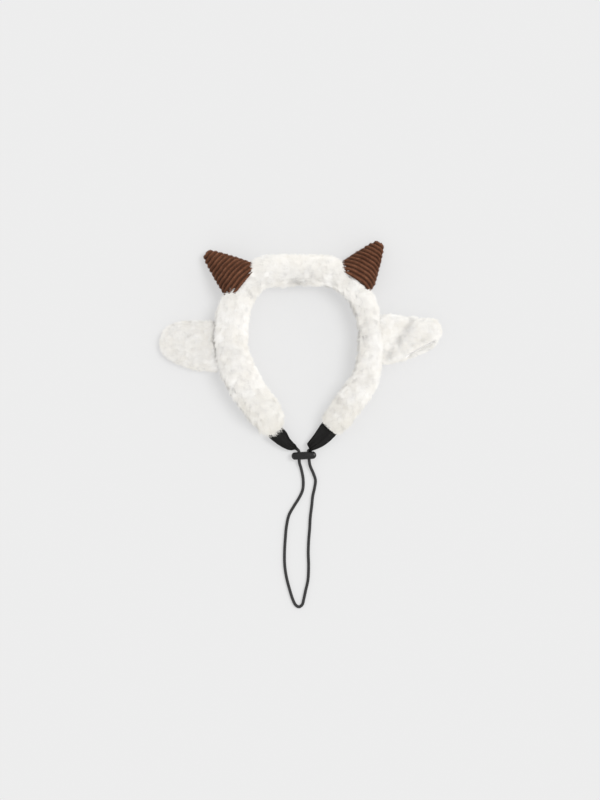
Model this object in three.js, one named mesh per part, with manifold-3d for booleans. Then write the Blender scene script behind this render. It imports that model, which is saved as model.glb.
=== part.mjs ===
// Horned headband for a small pet, lying on a flat surface. Millimetres, +Z up, +Y toward the crown.
// A stuffed plush hoop carries two ribbed corduroy horns at the corners of its crown and two plush
// ears at its sides. Each open end of the hoop has a ribbon tab, and an elastic cord runs from the
// tabs through a two-hole lock and hangs below them in one loop.
import * as THREE from 'three';
import { mergeVertices } from 'three/addons/utils/BufferGeometryUtils.js';
import ManifoldModule from 'manifold-3d';

const kernel = await ManifoldModule();
kernel.setup();

// Driving sizes of the plush hoop
const HOOP_CENTRE = new THREE.Vector2(0, -56.3);
const HOOP_REACH = 57;
const BAND_WIDTH = 30;
const BAND_HEIGHT = 28;
const BAND_FULLNESS = 2.4;
const BAND_SINK = 0.05;
const LOCKS_AROUND = 7;
const LOCK_ROWS = 32;
const STEPS_PER_LOCK = 3;
const LOCK_RISE = 2.4;
const SEWN_GAP = 0.35;
const SEAM_SLACK = 1e-6;

// Sections of the hoop from the left end over the crown to the right end.
// turn is in degrees about the hoop's centre. reach, width and height are shares of the driving sizes.
const BAND_SECTIONS = [
  { turn: 256.3, reach: 1.434, width: 0.52, height: 0.44 },
  { turn: 253.0, reach: 1.363, width: 0.77, height: 0.70 },
  { turn: 248.0, reach: 1.239, width: 0.95, height: 0.88 },
  { turn: 236.7, reach: 1.129, width: 0.97, height: 0.96 },
  { turn: 224.4, reach: 1.052, width: 0.97, height: 1.00 },
  { turn: 210.5, reach: 1.017, width: 0.97, height: 1.02 },
  { turn: 195.5, reach: 0.993, width: 0.96, height: 1.00 },
  { turn: 181.7, reach: 0.987, width: 0.95, height: 0.98 },
  { turn: 169.0, reach: 0.999, width: 0.94, height: 1.00 },
  { turn: 155.0, reach: 1.034, width: 0.90, height: 1.00 },
  { turn: 139.9, reach: 1.062, width: 0.79, height: 0.99 },
  { turn: 126.4, reach: 1.084, width: 0.80, height: 0.98 },
  { turn: 114.3, reach: 1.076, width: 0.89, height: 0.98 },
  { turn: 102.5, reach: 1.018, width: 0.91, height: 0.97 },
  { turn: 90.0, reach: 0.995, width: 0.92, height: 0.97 },
  { turn: 77.5, reach: 1.018, width: 0.91, height: 0.97 },
  { turn: 65.9, reach: 1.082, width: 0.89, height: 0.99 },
  { turn: 54.0, reach: 1.108, width: 0.75, height: 0.99 },
  { turn: 42.9, reach: 1.108, width: 0.68, height: 1.00 },
  { turn: 30.3, reach: 1.106, width: 0.69, height: 1.03 },
  { turn: 18.2, reach: 1.086, width: 0.68, height: 1.06 },
  { turn: 6.3, reach: 1.074, width: 0.65, height: 1.06 },
  { turn: -9.4, reach: 1.083, width: 0.64, height: 1.06 },
  { turn: -22.4, reach: 1.123, width: 0.70, height: 1.05 },
  { turn: -33.9, reach: 1.163, width: 0.75, height: 1.02 },
  { turn: -45.5, reach: 1.177, width: 0.78, height: 1.00 },
  { turn: -55.7, reach: 1.230, width: 0.79, height: 0.97 },
  { turn: -64.9, reach: 1.319, width: 0.76, height: 0.88 },
  { turn: -69.3, reach: 1.378, width: 0.70, height: 0.71 },
  { turn: -71.8, reach: 1.419, width: 0.53, height: 0.46 },
];

// Driving sizes of the horns. A wale is one raised rib of the corduroy.
const WALE_PITCH = 3.8;
const WALE_RISE = 1.0;
const RINGS_PER_WALE = 4;
const HORN_SIDES = 17;
const HORN_DEPTH = 0.9 * BAND_HEIGHT;
const HORN_SEAT = 8;
const HORN_TIP_LIFT = 4.8;

// Half widths of a horn along its length, as shares of its length and of its base.
const HORN_SECTIONS = [
  { along: -0.3, girth: 1.0 },
  { along: 0.0, girth: 1.0 },
  { along: 0.3, girth: 0.79 },
  { along: 0.5, girth: 0.63 },
  { along: 0.78, girth: 0.4 },
  { along: 0.9, girth: 0.29 },
  { along: 0.97, girth: 0.18 },
  { along: 1.0, girth: 0.09 },
];

// Each horn: the place of its base on the hoop's route, how far out of the route it stands as a share
// of half the hoop's width, its lean from straight outward in degrees, its length and its width.
const HORNS = {
  horn_left: { share: 0.358, out: 0.77, lean: 0.4, length: 35.7, width: 34 },
  horn_right: { share: 0.608, out: 1.0, lean: 8.3, length: 32.8, width: 32 },
};

// Driving sizes of the ears
const EAR_LENGTH = 50;
const EAR_RIM = 0.3;
const EAR_LOCK_RISE = 1.4;
const EAR_LOCK_LENGTH = 12;
const EAR_LOCK_WIDTH = 10;

// The left ear: the place on the hoop's route that it stands beside, how far its middle is out of the
// hoop's skin, and its outline about its middle with the turn in degrees and the reach as a share of
// the ear's length. middle and thickness are heights in millimetres.
const LEFT_EAR = {
  share: 0.236,
  out: 22.1,
  middle: 6.0,
  thickness: 12.6,
  cells: [13, 11],
  outline: [
    { turn: -8, reach: 0.57 },
    { turn: 25, reach: 0.59 },
    { turn: 44, reach: 0.58 },
    { turn: 64, reach: 0.465 },
    { turn: 85, reach: 0.42 },
    { turn: 113, reach: 0.437 },
    { turn: 135, reach: 0.475 },
    { turn: 156, reach: 0.495 },
    { turn: 174, reach: 0.5 },
    { turn: 192, reach: 0.465 },
    { turn: 218, reach: 0.383 },
    { turn: 247, reach: 0.346 },
    { turn: 275, reach: 0.388 },
    { turn: 300, reach: 0.504 },
    { turn: 316, reach: 0.63 },
    { turn: 335, reach: 0.6 },
  ],
};

// The right ear is folded. Its front layer lies over a thinner back layer, which shows below the fold.
const RIGHT_EAR_FRONT = {
  share: 0.738,
  out: 23.3,
  middle: 10.0,
  thickness: 11.0,
  cells: [13, 11],
  outline: [
    { turn: 8.6, reach: 0.56 },
    { turn: 22.8, reach: 0.565 },
    { turn: 33.7, reach: 0.545 },
    { turn: 45, reach: 0.475 },
    { turn: 63.4, reach: 0.376 },
    { turn: 103.4, reach: 0.363 },
    { turn: 122, reach: 0.475 },
    { turn: 138.5, reach: 0.583 },
    { turn: 169, reach: 0.617 },
    { turn: 207, reach: 0.672 },
    { turn: 224, reach: 0.677 },
    { turn: 231, reach: 0.585 },
    { turn: 238.7, reach: 0.452 },
    { turn: 250.7, reach: 0.356 },
    { turn: 291, reach: 0.234 },
    { turn: 333.4, reach: 0.282 },
    { turn: 350.5, reach: 0.41 },
    { turn: 358.2, reach: 0.52 },
  ],
};
const RIGHT_EAR_BACK = {
  share: 0.749,
  out: 21.7,
  middle: 3.6,
  thickness: 8,
  cells: [10, 8],
  outline: [
    { turn: -2, reach: 0.487 },
    { turn: 12, reach: 0.56 },
    { turn: 42, reach: 0.5 },
    { turn: 112, reach: 0.36 },
    { turn: 180, reach: 0.54 },
    { turn: 216.5, reach: 0.565 },
    { turn: 226.5, reach: 0.44 },
    { turn: 245, reach: 0.316 },
    { turn: 278, reach: 0.237 },
    { turn: 320, reach: 0.262 },
    { turn: 347, reach: 0.38 },
  ],
};
// The hollow of the folded ear runs from its top edge down beside the hoop. Its points are counted
// from the middle of the front layer in shares of the ear's length.
const EAR_VALLEY = [
  { x: -0.034, y: 0.278 },
  { x: -0.202, y: 0.118 },
  { x: -0.332, y: -0.132 },
  { x: -0.432, y: -0.342 },
];
const VALLEY_DEPTH = 4.5;
const VALLEY_WIDTH = 4.2;

// Driving sizes of the cord and its lock. The lock lies below the ends of the hoop by drop, and aside
// of the middle between them, turned by a few degrees.
const CORD_DIAMETER = 2.6;
const CORD_SIDES = 7;
const CORD_STEPS = 90;
const CORD_REST = CORD_DIAMETER / 2 + 0.05;
const SLIDE_GAP = 0.3;
const CORD_LOCK = { aside: 2.05, drop: 19.7, length: 21, width: 6.6, height: 6.4, edge: 1.2, turn: 3 };
const HOLE_SPACING = 8.4;
const HOLE_LIFT = CORD_LOCK.height / 2;
const HOLE_SIDES = 12;
const HOLE_REACH = CORD_LOCK.width / 2 + 0.8;

// The cord's free route about the lock's middle, from below one hole round the loop to below the other.
const CORD_ROUTE = [
  { x: -3.6, y: -7.0, lift: 2.5 },
  { x: -2.5, y: -10.5, lift: 1.7 },
  { x: -0.6, y: -20.6, lift: CORD_REST },
  { x: -1.1, y: -29.2, lift: CORD_REST },
  { x: -4.2, y: -36.1, lift: CORD_REST },
  { x: -8.4, y: -42.8, lift: CORD_REST },
  { x: -12.6, y: -50.4, lift: CORD_REST },
  { x: -14.7, y: -59.6, lift: CORD_REST },
  { x: -15.6, y: -68.6, lift: CORD_REST },
  { x: -16.4, y: -82.3, lift: CORD_REST },
  { x: -16.2, y: -93.2, lift: CORD_REST },
  { x: -14.7, y: -103.3, lift: CORD_REST },
  { x: -12.1, y: -113.4, lift: CORD_REST },
  { x: -9.5, y: -121.6, lift: CORD_REST },
  { x: -7.0, y: -126.5, lift: CORD_REST },
  { x: -4.1, y: -128.1, lift: CORD_REST },
  { x: -1.4, y: -126.2, lift: CORD_REST },
  { x: -0.1, y: -121.6, lift: CORD_REST },
  { x: 1.5, y: -114.2, lift: CORD_REST },
  { x: 3.4, y: -105.6, lift: CORD_REST },
  { x: 4.0, y: -93.6, lift: CORD_REST },
  { x: 3.7, y: -82.3, lift: CORD_REST },
  { x: 4.1, y: -71.4, lift: CORD_REST },
  { x: 4.9, y: -61.6, lift: CORD_REST },
  { x: 5.4, y: -52.6, lift: CORD_REST },
  { x: 6.6, y: -42.8, lift: CORD_REST },
  { x: 7.5, y: -34.4, lift: CORD_REST },
  { x: 9.1, y: -27.0, lift: CORD_REST },
  { x: 9.8, y: -21.0, lift: CORD_REST },
  { x: 8.2, y: -15.6, lift: 1.6 },
  { x: 5.2, y: -8.4, lift: 2.4 },
];
const CORD_TUCK = 0.86;
const SOCKET_SLACK = 0.15;
const SOCKET_STEPS = 6;
const SOCKET_POINTS = 3;

// Driving sizes of the ribbon tabs
const RIBBON_WIDTH = 14;
const RIBBON_STEPS = 9;
const RIBBON_COLUMNS = 6;
const RIBBON_FOLDS = 1.5;
const RIBBON_FOLD_DEPTH = 1.8;
const RIBBON_THIN_RIM = 0.35;
const RIBBON_REST = 0.2;

// Each tab runs from an end of the hoop to a tip above the lock. tip is counted from the lock's middle.
// In its rows, toward is a share of that way, aside, lift and thickness are in millimetres, and width
// is a share of the ribbon's width.
const RIBBONS = {
  ribbon_left: {
    end: 0,
    tip: { x: -7.2, y: CORD_LOCK.width / 2 + 3.2 },
    rows: [
      { toward: -0.124, aside: 0.8, lift: 7.4, width: 0.97, thickness: 1.8 },
      { toward: 0.082, aside: -0.1, lift: 6.6, width: 1.0, thickness: 1.8 },
      { toward: 0.34, aside: -1.4, lift: 5.6, width: 1.08, thickness: 2.0 },
      { toward: 0.595, aside: -1.7, lift: 4.8, width: 0.88, thickness: 2.8 },
      { toward: 0.81, aside: -1.0, lift: 4.2, width: 0.66, thickness: 4.0 },
      { toward: 1.0, aside: 0, lift: 3.6, width: 0.45, thickness: 5.0 },
    ],
  },
  ribbon_right: {
    end: 1,
    tip: { x: 6.0, y: CORD_LOCK.width / 2 + 2.0 },
    rows: [
      { toward: -0.151, aside: -0.5, lift: 7.4, width: 0.97, thickness: 1.8 },
      { toward: 0.071, aside: -0.6, lift: 6.6, width: 1.0, thickness: 1.8 },
      { toward: 0.339, aside: -0.9, lift: 5.6, width: 1.08, thickness: 2.0 },
      { toward: 0.592, aside: -1.2, lift: 4.8, width: 0.94, thickness: 2.6 },
      { toward: 0.824, aside: -1.2, lift: 4.2, width: 0.6, thickness: 4.0 },
      { toward: 1.0, aside: 0, lift: 3.6, width: 0.36, thickness: 5.0 },
    ],
  },
};

// Materials
const plush = material('#f1ece5', 1.0);
const corduroy = material('#4b2f22', 0.95);
const ribbonCloth = material('#1f1d1c', 0.8);
const lockPlastic = material('#161616', 0.4);
const elastic = material('#1c1b1b', 0.85);

function material(color, roughness) {
  return new THREE.MeshStandardMaterial({ color, roughness, metalness: 0 });
}

function degrees(value) {
  return THREE.MathUtils.degToRad(value);
}

// Keeps the sign of a sine or cosine while raising its size to a power, which squares a round form.
function squared(value, power) {
  return Math.sign(value) * Math.abs(value) ** power;
}

// Reads one column of a table at a place between its rows.
function between(rows, key, place, column) {
  const next = rows.findIndex((row) => row[key] >= place);
  if (next === 0) {
    return rows[0][column];
  }
  if (next < 0) {
    return rows[rows.length - 1][column];
  }
  const low = rows[next - 1];
  const high = rows[next];
  const share = (place - low[key]) / (high[key] - low[key]);
  return THREE.MathUtils.lerp(low[column], high[column], share);
}

// Twice the signed volume of a closed geometry is negative where its faces point inward.
function facesInward(geometry) {
  const place = geometry.getAttribute('position');
  const index = geometry.getIndex();
  const a = new THREE.Vector3();
  const b = new THREE.Vector3();
  const c = new THREE.Vector3();
  let volume = 0;
  for (let i = 0; i < index.count; i += 3) {
    a.fromBufferAttribute(place, index.getX(i));
    b.fromBufferAttribute(place, index.getX(i + 1));
    c.fromBufferAttribute(place, index.getX(i + 2));
    volume += a.dot(b.cross(c));
  }
  return volume < 0;
}

function turnInsideOut(geometry) {
  const index = geometry.getIndex();
  for (let i = 0; i < index.count; i += 3) {
    const second = index.getX(i + 1);
    index.setX(i + 1, index.getX(i + 2));
    index.setX(i + 2, second);
  }
}

// Welds a stock geometry into one closed skin and moves each of its points by a function.
function reshape(stock, move) {
  stock.deleteAttribute('normal');
  stock.deleteAttribute('uv');
  const skin = mergeVertices(stock, 1e-4);
  const place = skin.getAttribute('position');
  const point = new THREE.Vector3();
  for (let i = 0; i < place.count; i += 1) {
    point.fromBufferAttribute(place, i);
    move(point);
    place.setXYZ(i, point.x, point.y, point.z);
  }
  if (facesInward(skin)) {
    turnInsideOut(skin);
  }
  return skin;
}

function toSolid(geometry) {
  const mesh = new kernel.Mesh({
    numProp: 3,
    vertProperties: new Float32Array(geometry.getAttribute('position').array),
    triVerts: new Uint32Array(geometry.getIndex().array),
  });
  mesh.merge();
  return new kernel.Manifold(mesh);
}

function toGeometry(solid) {
  const mesh = solid.getMesh();
  const geometry = new THREE.BufferGeometry();
  geometry.setAttribute('position', new THREE.BufferAttribute(mesh.vertProperties, 3));
  geometry.setIndex(new THREE.BufferAttribute(mesh.triVerts, 1));
  return geometry;
}

// Cuts tools from a body and keeps its largest piece.
function cutAway(geometry, tools) {
  const cut = tools.reduce((body, tool) => body.subtract(toSolid(tool)), toSolid(geometry));
  const pieces = cut.decompose();
  const largest = pieces.reduce((best, piece) => (piece.volume() > best.volume() ? piece : best));
  return toGeometry(largest);
}

function joined(first, second) {
  return toGeometry(toSolid(first).add(toSolid(second)));
}

// Height of the pile at a place counted in locks along its lay and across it. Each lock leans: it
// rises from its root to its tip, is rounded across and has its own share of the full height.
// Neighbouring columns of locks are staggered by thirds of a lock.
function lockRelief(along, across) {
  const column = Math.floor(across);
  const place = along + ((column * 2) % 3) / 3;
  const lean = place - Math.floor(place);
  const own = 0.75 + 0.25 * Math.sin(12.9 * Math.floor(place) + 4.7 * column);
  return own * lean * Math.sin(Math.PI * (across - column));
}

const up = new THREE.Vector3(0, 0, 1);
const bandRoute = new THREE.CatmullRomCurve3(
  BAND_SECTIONS.map((row) => {
    const reach = row.reach * HOOP_REACH;
    const x = HOOP_CENTRE.x + reach * Math.cos(degrees(row.turn));
    const y = HOOP_CENTRE.y + reach * Math.sin(degrees(row.turn));
    return new THREE.Vector3(x, y, 0);
  }),
);
const bandSizes = new THREE.CatmullRomCurve3(
  BAND_SECTIONS.map((row) => new THREE.Vector3(row.width * BAND_WIDTH, row.height * BAND_HEIGHT, 0)),
);

// The middle, directions and sizes of the hoop at a share of its route.
function bandPlace(share) {
  const centre = bandRoute.getPoint(share);
  const tangent = bandRoute.getTangent(share);
  const outward = new THREE.Vector3().crossVectors(up, tangent);
  const size = bandSizes.getPoint(share);
  return { centre, tangent, outward, width: size.x, height: size.y };
}

const leftEnd = bandRoute.getPoint(0);
const rightEnd = bandRoute.getPoint(1);
const lockMiddle = new THREE.Vector3(
  (leftEnd.x + rightEnd.x) / 2 + CORD_LOCK.aside,
  Math.min(leftEnd.y, rightEnd.y) - CORD_LOCK.drop,
  0,
);

// The plush hoop: a squarish tube along the route, with leaning locks of pile in its skin and a
// flat underside where it rests. A grown copy is what the pieces sewn to it are cut with.
function bandGeometry(grow) {
  const sides = LOCKS_AROUND * STEPS_PER_LOCK;
  const stock = new THREE.CylinderGeometry(1, 1, 1, sides, LOCK_ROWS * STEPS_PER_LOCK);
  return reshape(stock, (point) => {
    const share = point.y + 0.5;
    const spin = Math.atan2(point.x, point.z);
    const fill = Math.hypot(point.x, point.z);
    const { centre, tangent, outward, width, height } = bandPlace(share);
    const along = Math.abs(share - 0.5) * LOCK_ROWS;
    const around = THREE.MathUtils.euclideanModulo(spin / (2 * Math.PI) + 0.25, 1) * LOCKS_AROUND;
    const relief = LOCK_RISE * lockRelief(along, around) + grow;
    const across = (width / 2) * squared(Math.cos(spin), 2 / BAND_FULLNESS) + relief * Math.cos(spin);
    const rise = (height / 2) * squared(Math.sin(spin), 2 / BAND_FULLNESS) + relief * Math.sin(spin);
    point.copy(centre).addScaledVector(outward, across * fill);
    point.z = Math.max(height * (0.5 - BAND_SINK) + rise * fill, -grow);
    if (share < SEAM_SLACK) {
      point.addScaledVector(tangent, -grow);
    }
    if (share > 1 - SEAM_SLACK) {
      point.addScaledVector(tangent, grow);
    }
  });
}

// One horn: a drooping oval cone ringed with raised wales, seated over the shoulder of the hoop.
function hornGeometry(horn, seat) {
  const wales = Math.round((horn.length + HORN_SEAT) / WALE_PITCH);
  const pitch = (horn.length + HORN_SEAT) / wales;
  const stock = new THREE.CylinderGeometry(1, 1, 1, HORN_SIDES, wales * RINGS_PER_WALE);
  const place = bandPlace(horn.share);
  const heading = place.outward.clone().applyAxisAngle(up, degrees(horn.lean));
  const base = place.centre.clone().addScaledVector(place.outward, (horn.out * place.width) / 2);
  base.z = HORN_DEPTH / 2;
  const tip = base.clone().addScaledVector(heading, horn.length).setZ(HORN_TIP_LIFT);
  const axis = tip.clone().sub(base).normalize();
  const side = new THREE.Vector3().crossVectors(up, heading).normalize();
  const top = new THREE.Vector3().crossVectors(axis, side).normalize();
  const reach = tip.distanceTo(base);
  const cone = reshape(stock, (point) => {
    const fromSeat = (point.y + 0.5) * (reach + HORN_SEAT);
    const spin = Math.atan2(point.z, point.x);
    const fill = Math.hypot(point.x, point.z);
    const girth = between(HORN_SECTIONS, 'along', (fromSeat - HORN_SEAT) / reach, 'girth');
    const wale = WALE_RISE * (Math.abs(Math.sin((Math.PI * fromSeat) / pitch)) - 0.5);
    const wide = (horn.width / 2) * girth + wale;
    const deep = (HORN_DEPTH / 2) * girth + wale;
    point.copy(base).addScaledVector(axis, fromSeat - HORN_SEAT);
    point.addScaledVector(side, wide * fill * Math.cos(spin));
    point.addScaledVector(top, deep * fill * Math.sin(spin));
    point.z = Math.max(point.z, 0);
  });
  return cutAway(cone, [seat]);
}

// The reach of an ear's outline at any turn, smooth through the rows of its table.
function outlineReach(outline, spin) {
  const turn = THREE.MathUtils.euclideanModulo(THREE.MathUtils.radToDeg(spin) - outline[0].turn, 360);
  const rows = outline.map((row) => ({ turn: row.turn - outline[0].turn, reach: row.reach }));
  rows.push({ turn: 360, reach: outline[0].reach });
  return between(rows, 'turn', turn, 'reach') * EAR_LENGTH;
}

function distanceToRoute(x, y, route) {
  let nearest = Infinity;
  for (let i = 1; i < route.length; i += 1) {
    const from = new THREE.Vector3(route[i - 1].x, route[i - 1].y, 0);
    const to = new THREE.Vector3(route[i].x, route[i].y, 0);
    const point = new THREE.Vector3(x, y, 0);
    const closest = new THREE.Line3(from, to).closestPointToPoint(point, true, new THREE.Vector3());
    nearest = Math.min(nearest, closest.distanceTo(point));
  }
  return nearest;
}

// The hollow's route in the object's own millimetres.
function earValley() {
  const middle = padMiddle(RIGHT_EAR_FRONT);
  return EAR_VALLEY.map((row) => ({ x: middle.x + row.x * EAR_LENGTH, y: middle.y + row.y * EAR_LENGTH }));
}

// The middle of a padded leaf beside the hoop.
function padMiddle(pad) {
  const place = bandPlace(pad.share);
  return place.centre.clone().addScaledVector(place.outward, place.width / 2 + pad.out);
}

// A padded leaf of plush: thin at its rim, its outline from a table, resting on the ground. A square
// of cells is rounded to a disc first. valley is an optional route where the upper skin is pressed in.
function padGeometry(pad, rise, valley) {
  const stock = new THREE.BoxGeometry(2, 2, 2, pad.cells[0], pad.cells[1], 1);
  const middle = padMiddle(pad);
  return reshape(stock, (point) => {
    const discX = point.x * Math.sqrt(1 - point.y ** 2 / 2);
    const discY = point.y * Math.sqrt(1 - point.x ** 2 / 2);
    const fill = Math.hypot(discX, discY);
    const spin = Math.atan2(discY, discX);
    const reach = outlineReach(pad.outline, spin) * fill;
    const x = middle.x + reach * Math.cos(spin);
    const y = middle.y + reach * Math.sin(spin);
    const puff = EAR_RIM + (1 - EAR_RIM) * Math.sqrt(Math.max(1 - fill ** 3, 0));
    let lift = pad.middle + (pad.thickness / 2) * puff * point.z;
    if (point.z > 0) {
      const across = (y - middle.y + EAR_LENGTH) / EAR_LOCK_WIDTH;
      lift += rise * lockRelief(Math.abs(x) / EAR_LOCK_LENGTH, across);
    }
    if (point.z > 0 && valley) {
      const away = distanceToRoute(x, y, valley) / VALLEY_WIDTH;
      lift -= VALLEY_DEPTH * Math.exp(-away * away) * puff;
    }
    point.set(x, y, Math.max(lift, 0));
  });
}

// The route of a ribbon tab's middle from inside the hoop's end to its tip above the lock.
function ribbonRoute(ribbon) {
  const start = bandRoute.getPoint(ribbon.end);
  const tip = new THREE.Vector3(lockMiddle.x + ribbon.tip.x, lockMiddle.y + ribbon.tip.y, 0);
  const way = tip.clone().sub(start);
  const side = new THREE.Vector3().crossVectors(up, way).normalize();
  return new THREE.CatmullRomCurve3(
    ribbon.rows.map((row) => {
      const point = start.clone().addScaledVector(way, row.toward).addScaledVector(side, row.aside);
      return point.setZ(row.lift);
    }),
  );
}

// A ribbon tab: flat and wide where it leaves the hoop, gathered into folds where the cord enters.
function ribbonGeometry(ribbon, tools) {
  const stock = new THREE.BoxGeometry(1, 1, 1, RIBBON_STEPS, RIBBON_COLUMNS, 1);
  const route = ribbonRoute(ribbon);
  const sizes = new THREE.CatmullRomCurve3(
    ribbon.rows.map((row) => new THREE.Vector3(row.width * RIBBON_WIDTH, row.thickness, 0)),
  );
  const tab = reshape(stock, (point) => {
    const share = point.x + 0.5;
    const across = point.y;
    const layer = point.z;
    const size = sizes.getPoint(share);
    const side = new THREE.Vector3().crossVectors(up, route.getTangent(share)).normalize();
    const fold = RIBBON_FOLD_DEPTH * share * (1 - share) * Math.cos(2 * Math.PI * RIBBON_FOLDS * across);
    const rim = 1 - RIBBON_THIN_RIM * share * (2 * across) ** 2;
    point.copy(route.getPoint(share));
    point.addScaledVector(side, across * size.x);
    point.z = Math.max(point.z + layer * size.y * rim + fold, RIBBON_REST);
  });
  return cutAway(tab, tools);
}

// A point counted in the lock's own directions, in the object's millimetres.
function inLock(x, y, z) {
  return new THREE.Vector3(x, y, z).applyAxisAngle(up, degrees(CORD_LOCK.turn)).add(lockMiddle);
}

// The whole route of the cord: out of one tab, through the lock, round the loop and back.
function cordPoints() {
  const left = ribbonRoute(RIBBONS.ribbon_left);
  const right = ribbonRoute(RIBBONS.ribbon_right);
  const through = [HOLE_REACH, 0, -HOLE_REACH];
  const inLeft = through.map((y) => inLock(-HOLE_SPACING / 2, y, HOLE_LIFT));
  const inRight = through.map((y) => inLock(HOLE_SPACING / 2, y, HOLE_LIFT)).reverse();
  const loop = CORD_ROUTE.map(
    (row) => new THREE.Vector3(lockMiddle.x + row.x, lockMiddle.y + row.y, row.lift),
  );
  const out = [left.getPoint(CORD_TUCK), left.getPoint(1)];
  const back = [right.getPoint(1), right.getPoint(CORD_TUCK)];
  return [...out, ...inLeft, ...loop, ...inRight, ...back];
}

// A round cord swept along a route of points.
function cordGeometry(points, diameter, steps) {
  const circle = new THREE.Shape();
  for (let i = 0; i < CORD_SIDES; i += 1) {
    const turn = (2 * Math.PI * (i + 0.5)) / CORD_SIDES;
    const x = (diameter / 2) * Math.cos(turn);
    const y = (diameter / 2) * Math.sin(turn);
    if (i === 0) {
      circle.moveTo(x, y);
    } else {
      circle.lineTo(x, y);
    }
  }
  circle.closePath();
  const route = new THREE.CatmullRomCurve3(points);
  const stock = new THREE.ExtrudeGeometry(circle, { steps, extrudePath: route, bevelEnabled: false });
  return reshape(stock, () => {});
}

// A clearance around one end of the cord, which leaves a blind socket in the tab that it enters.
function socketGeometry(points) {
  const inner = points[0].clone().lerp(points[1], -SOCKET_SLACK);
  return cordGeometry([inner, ...points.slice(1)], CORD_DIAMETER + 2 * SLIDE_GAP, SOCKET_STEPS);
}

// The lock: a bar with rounded ends and edges, crossed by the cord's two holes.
function cordLockGeometry() {
  const { length, width, height, edge } = CORD_LOCK;
  const round = width / 2 - edge;
  const half = length / 2 - edge - round;
  const outline = new THREE.Shape();
  outline.absarc(half, 0, round, -Math.PI / 2, Math.PI / 2, false);
  outline.absarc(-half, 0, round, Math.PI / 2, (3 * Math.PI) / 2, false);
  outline.closePath();
  const stock = new THREE.ExtrudeGeometry(outline, {
    depth: height - 2 * edge,
    curveSegments: 6,
    bevelSize: edge,
    bevelThickness: edge,
    bevelSegments: 2,
  });
  const bar = reshape(stock, (point) => point.copy(inLock(point.x, point.y, point.z + edge)));
  const radius = CORD_DIAMETER / 2 + SLIDE_GAP;
  const holes = [-HOLE_SPACING / 2, HOLE_SPACING / 2].map((aside) => {
    const bore = new THREE.CylinderGeometry(radius, radius, 2 * width, HOLE_SIDES);
    return reshape(bore, (point) => point.copy(inLock(point.x + aside, point.y, point.z + HOLE_LIFT)));
  });
  return cutAway(bar, holes);
}

function piece(name, geometry, surface) {
  geometry.computeVertexNormals();
  const mesh = new THREE.Mesh(geometry, surface);
  mesh.name = name;
  return mesh;
}

const seat = bandGeometry(SEWN_GAP);
const cord = cordPoints();
const leftSocket = socketGeometry(cord.slice(0, SOCKET_POINTS));
const rightSocket = socketGeometry(cord.slice(-SOCKET_POINTS).reverse());
const frontLayer = padGeometry(RIGHT_EAR_FRONT, EAR_LOCK_RISE, earValley());
const rightEar = joined(frontLayer, padGeometry(RIGHT_EAR_BACK, 0));

const hoop = new THREE.Group();
hoop.name = 'plush_hoop';
hoop.add(piece('band', bandGeometry(0), plush));
hoop.add(piece('horn_left', hornGeometry(HORNS.horn_left, seat), corduroy));
hoop.add(piece('horn_right', hornGeometry(HORNS.horn_right, seat), corduroy));
hoop.add(piece('ear_left', cutAway(padGeometry(LEFT_EAR, EAR_LOCK_RISE), [seat]), plush));
hoop.add(piece('ear_right', cutAway(rightEar, [seat]), plush));

const chinStrap = new THREE.Group();
chinStrap.name = 'chin_strap';
chinStrap.add(piece('ribbon_left', ribbonGeometry(RIBBONS.ribbon_left, [seat, leftSocket]), ribbonCloth));
chinStrap.add(piece('ribbon_right', ribbonGeometry(RIBBONS.ribbon_right, [seat, rightSocket]), ribbonCloth));
chinStrap.add(piece('cord_lock', cordLockGeometry(), lockPlastic));
chinStrap.add(piece('chin_cord', cordGeometry(cord, CORD_DIAMETER, CORD_STEPS), elastic));

const headband = new THREE.Group();
headband.name = 'horned_headband';
headband.add(hoop, chinStrap);

export default headband;
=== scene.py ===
"""Horned plush headband for a small pet, lying flat and seen from straight above.

Laid out as an add-on and run as a script. Each operator makes one piece, or a group of like pieces,
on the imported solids. All lengths are in metres, +Z is up and +Y points at the crown of the hoop.
"""

import math

import bmesh
import bpy
import numpy as np
from bpy.props import FloatProperty, FloatVectorProperty, IntProperty, PointerProperty
from bpy.types import Operator, Panel, PropertyGroup
from mathutils import Matrix, Vector
from mathutils import noise as noise_at
from mathutils.bvhtree import BVHTree
from mathutils.kdtree import KDTree


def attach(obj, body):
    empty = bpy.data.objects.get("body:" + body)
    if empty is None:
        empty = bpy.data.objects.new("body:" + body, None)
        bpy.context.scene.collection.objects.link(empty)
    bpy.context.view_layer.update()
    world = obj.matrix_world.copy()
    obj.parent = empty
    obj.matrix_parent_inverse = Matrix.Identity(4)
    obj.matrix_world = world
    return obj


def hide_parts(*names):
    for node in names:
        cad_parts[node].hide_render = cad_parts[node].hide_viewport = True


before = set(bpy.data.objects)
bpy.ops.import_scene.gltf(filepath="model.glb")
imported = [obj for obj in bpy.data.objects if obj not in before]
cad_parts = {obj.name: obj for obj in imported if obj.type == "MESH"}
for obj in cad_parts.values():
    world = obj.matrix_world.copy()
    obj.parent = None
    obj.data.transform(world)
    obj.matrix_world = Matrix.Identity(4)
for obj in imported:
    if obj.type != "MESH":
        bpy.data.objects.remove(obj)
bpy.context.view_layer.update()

bl_info = {
    "name": "Horned Plush Headband",
    "version": (1, 0, 0),
    "blender": (4, 5, 0),
    "location": "View3D > Sidebar > Headband",
    "description": "Makes a horned plush headband for a small pet with its chin cord",
    "category": "Add Mesh",
}

MM = 0.001
UP = np.array([0, 0, 1.0])

# Height of the photograph's image in pixels, the size of one of them at the middle height of the hoop,
# and the place that the camera looks at.
IMAGE_HEIGHT = 800
PIXEL = 0.84 * MM
IMAGE_MIDDLE = Vector((1.7 * MM, -108.4 * MM, 14 * MM))

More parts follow.
